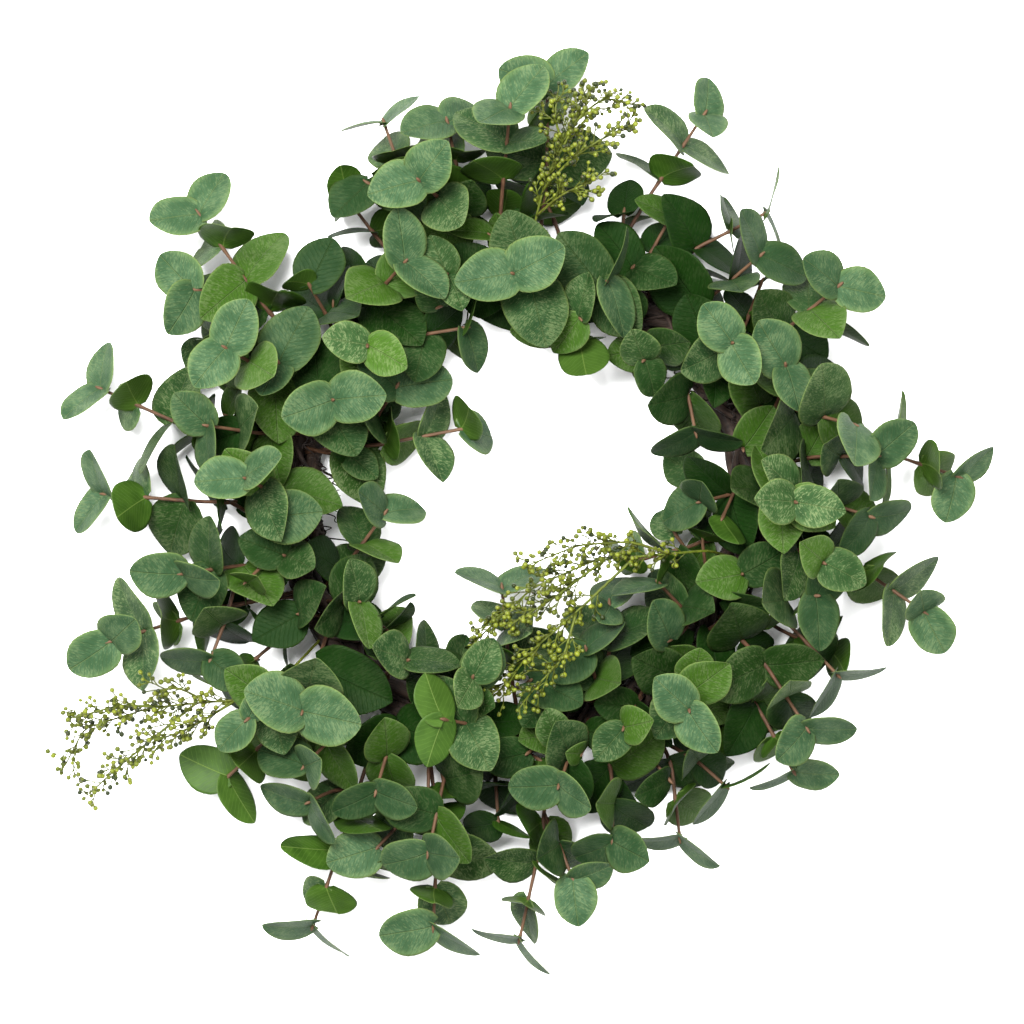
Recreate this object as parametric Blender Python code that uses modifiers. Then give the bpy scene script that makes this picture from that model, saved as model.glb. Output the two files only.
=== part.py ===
"""Round-leaved eucalyptus wreath on a ring of twisted vines, lying on its back.

Metres, +Z up. The ring lies on the surface, the sprigs fan out above and around it, and the top of
the wreath as it hangs on a wall is +Y. Tables of places are in whole millimetres.
"""

import math
import random
from collections import namedtuple

import bmesh
import bpy
from mathutils import Matrix, Quaternion, Vector
from mathutils.bvhtree import BVHTree
from mathutils.geometry import interpolate_bezier

MM = 0.001
WELD = 0.01 * MM
UP = Vector((0, 0, 1))

BARK_COLOUR = (0.10, 0.06, 0.035)
LEAF_COLOUR = (0.09, 0.20, 0.10)
BERRY_COLOUR = (0.30, 0.34, 0.08)

# Ring of twisted vines
RING_CENTRE = Vector((-2, 8, 14.4)) * MM
RING_RADIUS = 150 * MM
RING_WANDER = 4 * MM
RING_WAVES = 3
STRANDS = 3
STRAND_RADIUS = 9.0 * MM
STRAND_ORBIT = 7.2 * MM
STRAND_TWISTS = 5
STRAND_STEPS = 26
STRAND_SIDES = 6
STRAND_UNEVEN = 0.35
BUNDLE_RADIUS = 18 * MM
BUNDLE_STEPS = 48
BUNDLE_SIDES = 10
GROUND_WIDTH = 500 * MM
GROUND_DEPTH = 40 * MM

# Stems
STEM_BASE_RADIUS = 1.5 * MM
STEM_TIP_RADIUS = 1.0 * MM
STEM_BUD = 5 * MM
STEM_STEP = 64 * MM
SEAT_GAP = 0.35 * MM
SEAT_STEP = 0.1 * MM
STEM_ROOM = 4 * MM
STEM_LIFTS = (0, 0.15, -0.15, 0.3, -0.3, 0.5, 0.7)
BARE_STEM = 8 * MM
PATH_POINTS = 49
HEADING_REACH = 2 * MM
STEM_LEAVING = 0.4
STEM_ARRIVING = 0.35
STEM_SIDES = 4

# Leaves
INTERNODE = 26 * MM
LEAF_THICKNESS = 0.75 * MM
LEAF_WIDTH = 0.96
LEAF_INSET = 0.55 * MM
LEAF_FOLD = math.radians(12)
LEAF_DROOP = 0.10
LEAF_SIDE = ((0.3, 0.84), (0.74, 0.88))
TIP_SCALE = (0.85, 1.0, 1.1, 1.15, 1.18, 1.18)
OPENINGS = (64, 70, 74, 76, 76, 76)
FACING_SPREAD = 0.25
STEEP = 0.2
UNDERSIDE_UP = -0.1
LENGTH_SPREAD = (0.94, 1.06)
TWIST_SPREAD = 12
OPENING_SPREAD = 6
SHRINKS = (1.0, 0.92, 0.82, 0.7)
ATTEMPTS = 9
SEARCH_STEP = 7
SWING_SHARE = 0.7
TILT_SHARE = 0.8
CLEARANCE = 0.6 * MM
TEST_WIDER = 1.04
TEST_LONGER = 1.03
LOWEST_LEAF = 2.5 * MM

# Sprigs: root is the angle round the ring where the stem is pushed in, tip is in millimetres, aim is
# the heading at the tip as azimuth and height in degrees, leaf is the length of a full leaf in
# millimetres, roll turns the pair at the tip about the stem, lift raises the stem's start, and facing
# says how far the leaves turn to the viewer.
Sprig = namedtuple("Sprig", "root tip aim pairs leaf roll lift facing", defaults=(0.9, 0.4))
SPRIGS = (
    # Left side, from the top down
    Sprig(148, (-213, 197, 50), (118, 15), 4, 40, 22, 0.5, 0.8),
    Sprig(140, (-140, 150, 60), (130, 40), 3, 42, 20),
    Sprig(154, (-192, 106, 96), (150, 78), 3, 40, 0),
    Sprig(171, (-279, 82, 42), (147, 10), 4, 38, 22, 0.4, 0.5),
    Sprig(163, (-206, 56, 78), (160, 35), 4, 40, 30, 0.9, 0.2),
    Sprig(159, (-121, 72, 84), (280, 70), 3, 44, 0),
    Sprig(181, (-276, 12, 44), (170, 20), 4, 40, -22, 0.4, 0.35),
    Sprig(176, (-178, 22, 100), (100, 50), 4, 40, 0, 0.9, 0.15),
    Sprig(198, (-222, -40, 80), (270, 72), 3, 38, 0),
    Sprig(203, (-271, -85, 56), (220, 72), 3, 40, 90, 0.5),
    # Lower left
    Sprig(213, (-142, -130, 86), (65, 65), 3, 48, 10),
    Sprig(219, (-178, -134, 92), (225, 72), 3, 34, -90),
    Sprig(224, (-196, -176, 36), (225, -25), 3, 40, 0, 0.3),
    Sprig(230, (-143, -166, 72), (185, 60), 3, 38, -80),
    Sprig(241, (-96, -184, 66), (265, 35), 3, 38, 20),
    Sprig(236, (-139, -275, 28), (250, 0), 4, 38, -22, 0.2, 0.25),
    Sprig(246, (-59, -276, 32), (252, 5), 4, 40, 0, 0.3, 0.5),
    Sprig(254, (-62, -224, 66), (258, 25), 4, 40, 60, 0.9, 0.5),
    # Bottom
    Sprig(262, (-53, -132, 88), (180, -25), 3, 38, 0),
    Sprig(278, (-3, -284, 28), (246, 0), 4, 36, 0, 0.2, 0.35),
    Sprig(283, (22, -178, 80), (225, 40), 3, 38, 40),
    Sprig(290, (58, -218, 56), (250, 15), 4, 40, 45, 0.5, 0.75),
    Sprig(302, (103, -217, 36), (245, 5), 3, 38, 22, 0.3, 0.15),
    Sprig(313, (106, -128, 94), (215, 65), 4, 38, 0),
    # Right side, from the bottom up
    Sprig(321, (178, -172, 44), (272, 10), 3, 38, 0, 0.4, 0.5),
    Sprig(330, (184, -142, 78), (285, 25), 4, 40, 0, 0.9, 0.5),
    Sprig(339, (206, -108, 58), (300, 5), 3, 38, 0, 0.6, 0.15),
    Sprig(356, (264, -67, 48), (295, 50), 5, 37, 90, 0.4, 0.1),
    Sprig(358, (228, -4, 60), (280, 20), 4, 38, 0, 0.5, 0.3),
    Sprig(16, (288, 22, 36), (318, 0), 3, 37, 0, 0.3, 0.35),
    Sprig(7, (230, 36, 76), (330, 50), 4, 38, -10),
    Sprig(24, (215, 55, 84), (300, 66), 4, 46, 0),
    Sprig(30, (206, 148, 72), (40, 50), 3, 40, 35, 0.9, 0.75),
    Sprig(38, (134, 108, 94), (210, 70), 4, 38, 0),
    Sprig(50, (156, 168, 66), (50, 25), 3, 42, 20),
    # Top
    Sprig(60, (162, 197, 38), (0, 5), 3, 38, 20, 0.3, 0.25),
    Sprig(71, (120, 262, 46), (50, 45), 3, 36, -62, 0.5, 0.1),
    Sprig(66, (54, 148, 84), (350, -15), 4, 44, 0, 0.9, 0.35),
    Sprig(78, (-8, 153, 88), (100, 70), 4, 46, 0),
    Sprig(86, (16, 284, 34), (100, 10), 4, 38, -10, 0.3, 0.9),
    Sprig(96, (-8, 263, 78), (80, 62), 4, 42, 60),
    Sprig(103, (-50, 257, 52), (115, 20), 3, 42, 30, 0.5, 0.75),
    Sprig(112, (-92, 258, 38), (115, 0), 3, 36, 0, 0.3, 0.15),
    Sprig(131, (-74, 162, 84), (25, 30), 4, 42, 0, 0.9, 0.5),
    # Into the opening
    Sprig(142, (-34, 120, 56), (0, 10), 4, 38, 22, 0.5, 0.25),
    Sprig(168, (-36, 55, 38), (18, 5), 5, 37, 67, 0.4, 0.45),
    Sprig(205, (-88, 2, 46), (65, 20), 5, 36, 45, 0.5, 0.4),
    Sprig(236, (-96, -68, 52), (115, 20), 4, 38, -22, 0.5, 0.15),
    Sprig(252, (-32, -108, 70), (150, 66), 3, 38, 0),
    Sprig(270, (-14, -46, 36), (90, 5), 5, 38, 22, 0.3, 0.4),
    Sprig(292, (40, -86, 62), (110, 20), 4, 38, 30, 0.6, 0.3),
    Sprig(325, (86, -44, 56), (130, 15), 4, 38, 10, 0.5),
    Sprig(4, (112, 6, 58), (180, 20), 4, 40, -67, 0.6, 0.2),
    Sprig(46, (113, 48, 50), (283, 10), 4, 40, 22, 0.5, 0.25),
    Sprig(80, (38, 108, 52), (275, -35), 5, 42, -90, 0.6, 0.1),
)

# Shoots grow from a sprig, given by its place in the table above, at a share of its length.
Shoot = namedtuple("Shoot", "sprig share tip aim pairs leaf roll lift facing", defaults=(0.6, 0.4))
SHOOTS = (
    Shoot(3, 0.35, (-158, 98, 74), (110, 45), 2, 46, 40, 0.6, 0.5),
    Shoot(7, 0.35, (-164, -4, 74), (100, 70), 2, 46, 0),
    Shoot(9, 0.5, (-204, -100, 58), (240, 30), 2, 42, 30, 0.2),
    Shoot(20, 0.4, (34, -243, 46), (285, 20), 3, 40, 20, 0.3, 0.6),
    Shoot(23, 0.35, (134, -180, 56), (300, 10), 3, 40, 0, 0.3, 0.2),
    Shoot(27, 0.35, (192, -54, 66), (290, -20), 3, 44, 0),
    Shoot(42, 0.4, (-68, 213, 92), (120, 72), 3, 40, 0),
    Shoot(51, 0.35, (56, -56, 50), (120, 15), 3, 38, 60, 0.3),
    Shoot(50, 0.3, (6, -108, 60), (60, 40), 2, 42, 0, 0.4),
    Shoot(52, 0.3, (92, -84, 66), (150, 45), 2, 42, 30, 0.4),
    Shoot(1, 0.5, (-218, 144, 56), (205, 20), 2, 42, 20, 0.3, 0.6),
    Shoot(16, 0.4, (-142, -190, 50), (240, 20), 2, 42, 20, 0.3),
    Shoot(17, 0.4, (-98, -222, 44), (250, 20), 2, 42, 20, 0.3),
    Shoot(32, 0.35, (168, 96, 82), (180, 60), 2, 44, 0),
    Shoot(43, 0.4, (-104, 216, 50), (150, 20), 2, 40, 20, 0.3, 0.6),
    Shoot(46, 0.35, (-80, 84, 60), (60, 50), 2, 42, 20, 0.3),
)
SEED = 7

# Berry sprays: the angle round the ring where each is pushed in, and its branches as points in
# millimetres. The first branch carries the others.
BERRY_RADIUS = 1.9 * MM
BERRY_STALK = 4.5 * MM
BERRY_SPACING = 30 * MM
BERRY_SINK = 1.2 * MM
BERRY_TURN = math.radians(137.5)
BARE_TWIG = 0.2
BERRY_LEAN = 0.5
TWIG_RADIUS = 0.9 * MM
SPRAY_SPACE = 9 * MM
SPRAYS = {
    "berry_spray_left": (
        214,
        ((-168, -121, 54), (-205, -123, 60), (-242, -127, 56), (-286, -141, 44), (-299, -165, 36)),
        ((-205, -123, 60), (-222, -113, 66), (-236, -115, 66)),
        ((-212, -124, 59), (-240, -147, 62), (-262, -165, 56), (-282, -183, 46)),
        ((-234, -126, 57), (-262, -125, 64), (-290, -133, 62)),
        ((-186, -122, 57), (-214, -139, 70), (-236, -147, 74)),
    ),
    "berry_spray_top": (
        86,
        ((6, 180, 54), (12, 205, 64), (22, 232, 70), (34, 256, 66), (44, 274, 58)),
        ((13, 208, 65), (30, 226, 77), (48, 238, 80), (68, 248, 78)),
        ((17, 219, 67), (36, 254, 78), (52, 266, 78), (70, 262, 74)),
        ((9, 192, 59), (24, 204, 74), (44, 212, 80)),
        ((26, 238, 69), (20, 252, 75), (22, 268, 74)),
    ),
    "berry_spray_centre": (
        345,
        ((120, -25, 52), (94, -27, 66), (46, -31, 72), (6, -49, 66), (-28, -81, 54)),
        ((94, -27, 66), (70, -19, 76), (36, -21, 80), (6, -33, 76)),
        ((72, -29, 69), (40, -59, 78), (6, -89, 72), (-16, -117, 60), (-34, -131, 52)),
        ((34, -65, 77), (26, -93, 84), (4, -117, 80)),
        ((52, -31, 71), (20, -55, 80), (-6, -71, 74)),
    ),
}


def clear_scene():
    for item in list(bpy.data.objects):
        bpy.data.objects.remove(item)


def new_collection(name):
    collection = bpy.data.collections.new(name)
    bpy.context.scene.collection.children.link(collection)
    return collection


def make_material(name, colour, roughness):
    material = bpy.data.materials.new(name)
    material.use_nodes = True
    shader = material.node_tree.nodes["Principled BSDF"]
    shader.inputs["Base Color"].default_value = (*colour, 1)
    shader.inputs["Roughness"].default_value = roughness
    shader.inputs["Metallic"].default_value = 0
    return material


def tube_mesh(name, points, radii, sides, cyclic=False):
    """Mesh of a round tube through points, made from a bevelled curve, with its caps welded."""
    curve = bpy.data.curves.new(name, "CURVE")
    curve.dimensions = "3D"
    curve.bevel_depth = 1
    curve.bevel_resolution = (sides - 4) // 2
    curve.use_fill_caps = not cyclic
    spline = curve.splines.new("POLY")
    spline.points.add(len(points) - 1)
    spline.use_cyclic_u = cyclic
    for target, point, radius in zip(spline.points, points, radii):
        target.co = (*point, 1)
        target.radius = radius
    holder = bpy.data.objects.new(name, curve)
    bpy.context.scene.collection.objects.link(holder)
    depsgraph = bpy.context.evaluated_depsgraph_get()
    mesh = bpy.data.meshes.new_from_object(holder.evaluated_get(depsgraph))
    bpy.data.objects.remove(holder)
    bpy.data.curves.remove(curve)
    weld(mesh)
    return mesh


def weld(mesh):
    """Merges corners that lie on one another, and turns the faces outward."""
    shape = bmesh.new()
    shape.from_mesh(mesh)
    bmesh.ops.remove_doubles(shape, verts=shape.verts, dist=WELD)
    bmesh.ops.recalc_face_normals(shape, faces=shape.faces)
    shape.to_mesh(mesh)
    shape.free()


def add_object(name, mesh, collection, matrix=None):
    item = bpy.data.objects.new(name, mesh)
    item.matrix_world = matrix or Matrix()
    collection.objects.link(item)
    return item


def fuse(base, repeats, material):
    """Joins every object of the collection repeats to base, and removes them."""
    joined = base.modifiers.new("join", "BOOLEAN")
    joined.operation = "UNION"
    joined.operand_type = "COLLECTION"
    joined.collection = repeats
    joined.solver = "MANIFOLD"
    depsgraph = bpy.context.evaluated_depsgraph_get()
    mesh = bpy.data.meshes.new_from_object(base.evaluated_get(depsgraph))
    base.modifiers.clear()
    mesh.materials.clear()
    mesh.materials.append(material)
    base.data = mesh
    for item in list(repeats.objects):
        bpy.data.objects.remove(item)
    bpy.data.collections.remove(repeats)


def ring_point(angle):
    """Point on the middle line of the bundle, at an angle in degrees round the ring."""
    turn = math.radians(angle)
    radius = RING_RADIUS + RING_WANDER * math.sin(RING_WAVES * turn + 1)
    return RING_CENTRE + Vector((radius * math.cos(turn), radius * math.sin(turn), 0))


def strand_points(strand):
    """Closed line of one vine, winding round the middle line of the bundle."""
    points = []
    for step in range(STRAND_STEPS):
        angle = 360 * step / STRAND_STEPS
        middle = ring_point(angle)
        outward = (middle - RING_CENTRE).normalized()
        wind = math.radians(angle) * STRAND_TWISTS + 2 * math.pi * strand / STRANDS
        wind += STRAND_UNEVEN * math.sin(math.radians(2 * angle) + strand)
        points.append(middle + (outward * math.cos(wind) + UP * math.sin(wind)) * STRAND_ORBIT)
    return points


def strand_tube(name, strand):
    radii = [STRAND_RADIUS] * STRAND_STEPS
    return tube_mesh(name, strand_points(strand), radii, STRAND_SIDES, cyclic=True)


def make_ring(collection, cutters, material):
    """Vines fused where they press on each other, and cut flat where they meet the surface."""
    repeats = new_collection("vines")
    ring = add_object("vine_ring", strand_tube("vine_ring", 0), collection)
    for strand in range(1, STRANDS):
        add_object("vine", strand_tube("vine", strand), repeats)
    fuse(ring, repeats, material)

    bpy.ops.mesh.primitive_cube_add(size=1, location=(0, 0, -GROUND_DEPTH / 2))
    ground = bpy.context.object
    ground.name = "ground_cutter"
    ground.scale = (GROUND_WIDTH, GROUND_WIDTH, GROUND_DEPTH)
    for owner in list(ground.users_collection):
        owner.objects.unlink(ground)
    cutters.objects.link(ground)
    ground.hide_render = True
    ground.display_type = "WIRE"
    flat = ring.modifiers.new("flat underside", "BOOLEAN")
    flat.operation = "DIFFERENCE"
    flat.object = ground
    return ring


def evaluated_tree(item):
    depsgraph = bpy.context.evaluated_depsgraph_get()
    return BVHTree.FromObject(item, depsgraph)


class Path:
    """Line through points in metres, measured along its length."""

    def __init__(self, points):
        self.points = [Vector(point) for point in points]
        self.marks = [0.0]
        for before, after in zip(self.points, self.points[1:]):
            self.marks.append(self.marks[-1] + (after - before).length)
        self.length = self.marks[-1]

    def at(self, distance):
        distance = min(max(distance, 0), self.length)
        for index in range(1, len(self.marks)):
            if distance <= self.marks[index]:
                span = self.marks[index] - self.marks[index - 1]
                share = (distance - self.marks[index - 1]) / span
                return self.points[index - 1].lerp(self.points[index], share)
        return self.points[-1]

    def heading(self, distance):
        near = self.at(distance - HEADING_REACH)
        far = self.at(distance + HEADING_REACH)
        return (far - near).normalized()

    def leaves_bundle(self):
        """Distance at which the stem comes out of the round space that the bundle fills."""
        distance = 0.0
        while distance < self.length and bundle_distance(self.at(distance)) < BUNDLE_RADIUS:
            distance += 1 * MM
        return distance


def stem_path(root, plan, lift):
    """Smooth line from a root to the tip of a sprig or a shoot."""
    tip = Vector(plan.tip) * MM
    azimuth, height = (math.radians(value) for value in plan.aim)
    level = Vector((math.cos(azimuth), math.sin(azimuth), 0))
    aim = level * math.cos(height) + UP * math.sin(height)
    reach = (tip - root).length
    out = ((tip - root).normalized() + UP * (plan.lift + lift)).normalized()
    leaving = root + out * reach * STEM_LEAVING
    arriving = tip - aim * reach * STEM_ARRIVING
    return Path(interpolate_bezier(root, leaving, arriving, tip, PATH_POINTS))


def bundle_distance(point):
    offset = point - RING_CENTRE
    angle = math.degrees(math.atan2(offset.y, offset.x))
    return (point - ring_point(angle)).length


def tube_tree(points, radius):
    """Square tube as a search tree, to test what a stem would touch."""
    corners = []
    faces = []
    for index, point in enumerate(points):
        before = points[max(index - 1, 0)]
        after = points[min(index + 1, len(points) - 1)]
        along = (after - before).normalized()
        side = along.orthogonal().normalized() * radius
        other = along.cross(side)
        corners += [point + side, point + other, point - side, point - other]
        if index:
            first = 4 * (index - 1)
            for edge in range(4):
                after_edge = (edge + 1) % 4
                faces.append((first + edge, first + after_edge, first + 4 + after_edge, first + 4 + edge))
    return BVHTree.FromPolygons(corners, faces)


class Obstacles:
    """Everything placed so far, with a sphere round each piece for a quick first test."""

    def __init__(self):
        self.items = []

    def add(self, tree, points):
        middle = sum(points, Vector()) / len(points)
        reach = max((point - middle).length for point in points)
        self.items.append((middle, reach, tree))

    def blocks(self, tree, points, skip=()):
        middle = sum(points, Vector()) / len(points)
        reach = max((point - middle).length for point in points)
        for index, (other_middle, other_reach, other) in enumerate(self.items):
            if index in skip:
                continue
            if (middle - other_middle).length > reach + other_reach + CLEARANCE:
                continue
            if tree.overlap(other):
                return True
        return False


def bundle_tree():
    """Plain ring round the bundle, which leaves keep out of."""
    corners = []
    faces = []
    for step in range(BUNDLE_STEPS):
        middle = ring_point(360 * step / BUNDLE_STEPS)
        outward = (middle - RING_CENTRE).normalized()
        for side in range(BUNDLE_SIDES):
            turn = 2 * math.pi * side / BUNDLE_SIDES
            corners.append(middle + (outward * math.cos(turn) + UP * math.sin(turn)) * BUNDLE_RADIUS)
    for step in range(BUNDLE_STEPS):
        this = step * BUNDLE_SIDES
        after = (step + 1) % BUNDLE_STEPS * BUNDLE_SIDES
        for side in range(BUNDLE_SIDES):
            beside = (side + 1) % BUNDLE_SIDES
            faces.append((this + side, after + side, after + beside, this + beside))
    return BVHTree.FromPolygons(corners, faces)


def stem_bends(path, start):
    """Distances along the stem of its bends, from its start to its tip."""
    count = max(2, round(path.length / STEM_STEP))
    bends = [path.length * step / count for step in range(1, count + 1)]
    return [start] + [bend for bend in bends if bend > start + STEM_ROOM]


def node_distances(path, pairs, bare):
    """Distances along the stem of its leaf pairs, from the tip down to the bare part."""
    distances = [path.length - STEM_BUD]
    while len(distances) < pairs and distances[-1] - INTERNODE > bare:
        distances.append(distances[-1] - INTERNODE)
    return distances


def chord_point(path, bends, distance):
    """Point on the straight piece of stem between two bends."""
    for low, high in zip(bends, bends[1:]):
        if low <= distance <= high:
            return path.at(low).lerp(path.at(high), (distance - low) / (high - low))
    return path.at(distance)


def leaf_frame(node, along, axis, opening, facing, twist):
    """Place of a leaf: Y runs to its tip, Z is its upper face."""
    heading = (along * math.cos(opening) + axis * math.sin(opening)).normalized()
    upper = (along - heading * along.dot(heading)).normalized()
    level = UP - heading * UP.dot(heading)
    if level.length > STEEP:
        level.normalize()
        if level.dot(upper) < UNDERSIDE_UP:
            level = -level
        upper = (upper * (1 - facing) + level * facing).normalized()
    upper = Quaternion(heading, twist) @ upper
    across = heading.cross(upper)
    rotation = Matrix((across, heading, upper)).transposed().to_4x4()
    return Matrix.Translation(node + heading * LEAF_INSET) @ rotation


def leaf_surface(length):
    """Open surface of a leaf: a flat trough from its base to its tip, with raised sides."""
    half = length * LEAF_WIDTH / 2
    corners = [Vector((0, 0, 0)), Vector((0, length, -LEAF_DROOP * length))]
    faces = []
    for sign in (1, -1):
        first = len(corners)
        for along, across in LEAF_SIDE:
            rise = half * across * math.tan(LEAF_FOLD) - LEAF_DROOP * length * along * along
            corners.append(Vector((sign * half * across, along * length, rise)))
        for step in range(len(LEAF_SIDE) - 1):
            faces.append((first + step, first + step + 1, 1))
    left = 2 + len(LEAF_SIDE)
    faces.append((0, 2, left))
    faces.append((2, left, 1))
    return corners, faces


def leaf_mesh(length):
    corners, faces = leaf_surface(length)
    mesh = bpy.data.meshes.new("leaf")
    mesh.from_pydata([tuple(corner) for corner in corners], [], faces)
    shape = bmesh.new()
    shape.from_mesh(mesh)
    bmesh.ops.recalc_face_normals(shape, faces=shape.faces)
    shape.to_mesh(mesh)
    shape.free()
    return mesh


def leaf_test(frame, length):
    """Search tree of a leaf with its thickness, and its corners in the wreath."""
    corners, faces = leaf_surface(length)
    half = LEAF_THICKNESS / 2 + CLEARANCE
    grown = []
    for offset in (half, -half):
        for corner in corners:
            spread = Vector((corner.x * TEST_WIDER, corner.y * TEST_LONGER, corner.z + offset))
            grown.append(frame @ spread)
    count = len(corners)
    solid = [tuple(face) for face in faces]
    solid += [tuple(index + count for index in face) for face in faces]
    rim = [0] + list(range(2, 2 + len(LEAF_SIDE))) + [1] + list(range(count - 1, 1 + len(LEAF_SIDE), -1))
    for start, end in zip(rim, rim[1:] + rim[:1]):
        solid.append((start, end, end + count, start + count))
    return BVHTree.FromPolygons(grown, solid), grown


Leaf = namedtuple("Leaf", "frame length")


def place_leaf(rng, obstacles, stem, node, along, axis, length, pair):
    """First attitude of the leaf that touches nothing placed before it, or None."""
    facing = max(stem.plan.facing + rng.uniform(-1, 1) * FACING_SPREAD, 0)
    base_twist = rng.gauss(0, TWIST_SPREAD)
    base_opening = OPENINGS[pair] + rng.gauss(0, OPENING_SPREAD)
    for shrink in SHRINKS:
        for attempt in range(ATTEMPTS):
            spread = SEARCH_STEP * attempt
            swing = Quaternion(along, math.radians(rng.uniform(-1, 1) * spread * SWING_SHARE))
            tilt = math.radians(base_opening + rng.uniform(-1, 1) * spread * TILT_SHARE)
            twist = math.radians(base_twist + rng.uniform(-1, 1) * spread)
            frame = leaf_frame(node, along, swing @ axis, tilt, facing, twist)
            tree, corners = leaf_test(frame, length * shrink)
            if min(corner.z for corner in corners) < LOWEST_LEAF:
                continue
            if not obstacles.blocks(tree, corners, stem.own):
                obstacles.add(tree, corners)
                return Leaf(frame, length * shrink)
    return None


Stem = namedtuple("Stem", "plan path bends nodes own sprig")


def grow_stem(plan, sprig, root, parent, obstacles):
    """Stem of a sprig or a shoot, bent clear of the stems placed before it."""
    for lift in STEM_LIFTS:
        path = stem_path(root, plan, lift)
        start = 0.0 if parent else path.leaves_bundle() - STEM_ROOM
        bends = stem_bends(path, start)
        outside = [path.at(bend) for bend in bends]
        tree = tube_tree(outside, STEM_BASE_RADIUS + CLEARANCE)
        if not obstacles.blocks(tree, outside, parent.own if parent else ()):
            break
    nodes = node_distances(path, plan.pairs, start + BARE_STEM)
    obstacles.add(tube_tree(outside, STEM_BASE_RADIUS), outside)
    own = {len(obstacles.items) - 1}
    return Stem(plan, path, bends, nodes, own, sprig)


def grow_stems(obstacles):
    stems = []
    for index, plan in enumerate(SPRIGS):
        stems.append(grow_stem(plan, index, ring_point(plan.root), None, obstacles))
    for plan in SHOOTS:
        parent = stems[plan.sprig - 1]
        root = chord_point(parent.path, parent.bends, parent.path.length * plan.share)
        stems.append(grow_stem(plan, parent.sprig, root, parent, obstacles))
    return stems


def grow_leaves(stem, number, obstacles):
    """Leaves of a stem, pair by pair from its tip, each pair a quarter turn from the last."""
    rng = random.Random(SEED + number)
    along = stem.path.heading(stem.path.length)
    reference = Quaternion(along, math.radians(stem.plan.roll)) @ along.cross(UP).normalized()
    leaves = []
    for pair, distance in enumerate(stem.nodes):
        along = stem.path.heading(distance)
        axis = (reference - along * reference.dot(along)).normalized()
        node = chord_point(stem.path, stem.bends, distance)
        length = stem.plan.leaf * MM * TIP_SCALE[pair] * rng.uniform(*LENGTH_SPREAD)
        for sign in (1, -1):
            leaf = place_leaf(rng, obstacles, stem, node, along, axis * sign, length, pair)
            if leaf:
                leaves.append(leaf)
        reference = along.cross(axis)
    return leaves


def seat_distance(path, radius, ring_tree):
    """Distance along a path from inside the ring at which a stem's end is just clear of the vines."""
    distance = path.leaves_bundle() + STEM_ROOM
    while distance > 0:
        lower = distance - SEAT_STEP
        along = path.heading(lower)
        side = along.orthogonal().normalized() * radius
        other = along.cross(side)
        centre = path.at(lower)
        rim = [centre, centre + side, centre - side, centre + other, centre - other]
        if min(ring_tree.find_nearest(point)[3] for point in rim) < SEAT_GAP:
            break
        distance = lower
    return distance


def stem_mesh(name, stem, start):
    """Square tube along the bends of a stem, run on or cut short to its start."""
    distances = [start] + [bend for bend in stem.bends if bend > start]
    points = []
    radii = []
    for distance in distances:
        share = distance / stem.path.length
        points.append(chord_point(stem.path, stem.bends, distance))
        radii.append(STEM_BASE_RADIUS * (1 - share) + STEM_TIP_RADIUS * share)
    return tube_mesh(name, points, radii, STEM_SIDES)


def make_sprig(number, stems, foliage, ring_tree, collection, material):
    """Stem, shoots and leaves of one sprig as one body."""
    name = f"sprig_{number:02d}"
    start = seat_distance(stems[0].path, STEM_BASE_RADIUS, ring_tree)
    sprig = add_object(name, stem_mesh(name, stems[0], start), collection)
    repeats = new_collection("leaves")
    for shoot in stems[1:]:
        add_object("shoot", stem_mesh("shoot", shoot, 0.0), repeats)
    for leaf in foliage:
        item = add_object("leaf", leaf_mesh(leaf.length), repeats, leaf.frame)
        solid = item.modifiers.new("thickness", "SOLIDIFY")
        solid.thickness = LEAF_THICKNESS
        solid.offset = 0
    fuse(sprig, repeats, material)


def spray_branches(angle, branches):
    """Paths of a spray's branches, the first one starting inside the ring."""
    paths = []
    for index, points in enumerate(branches):
        line = [Vector(point) * MM for point in points]
        if index == 0:
            line.insert(0, ring_point(angle))
        paths.append(Path(line))
    return paths


def berry_frames(path, bare):
    """Frames of the berries along a branch, winding round it, with one on its tip. Z is the stalk."""
    frames = []
    distance = path.length - BERRY_SINK
    turn = 0.0
    while distance > bare:
        along = path.heading(distance)
        side = Quaternion(along, turn) @ along.orthogonal().normalized()
        stalk = (side + along * BERRY_LEAN).normalized() if frames else along
        attitude = stalk.to_track_quat("Z", "Y").to_matrix().to_4x4()
        frames.append(Matrix.Translation(path.at(distance)) @ attitude)
        distance -= BERRY_SPACING
        turn += BERRY_TURN
    return frames


def berry_mesh():
    """Berry on its stalk, which narrows down to the branch."""
    shape = bmesh.new()
    middle = Matrix.Translation((0, 0, BERRY_STALK))
    bmesh.ops.create_uvsphere(shape, u_segments=4, v_segments=2, radius=BERRY_RADIUS, matrix=middle)
    foot = min(shape.verts, key=lambda corner: corner.co.z)
    foot.co.z = 0
    mesh = bpy.data.meshes.new("berry")
    shape.to_mesh(mesh)
    shape.free()
    return mesh


def make_spray(name, paths, ring_tree, collection, material):
    start = seat_distance(paths[0], TWIG_RADIUS, ring_tree)
    repeats = new_collection("berries")
    for index, path in enumerate(paths):
        points = path.points
        radii = [TWIG_RADIUS] * len(points)
        if index == 0:
            points = [path.at(start)] + points[1:]
            spray = add_object(name, tube_mesh(name, points, radii, STEM_SIDES), collection)
        else:
            add_object("twig", tube_mesh("twig", points, radii, STEM_SIDES), repeats)
        bare = path.length * BARE_TWIG if index else path.marks[2]
        for frame in berry_frames(path, bare):
            add_object("berry", berry_mesh(), repeats, frame)
    fuse(spray, repeats, material)


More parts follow.
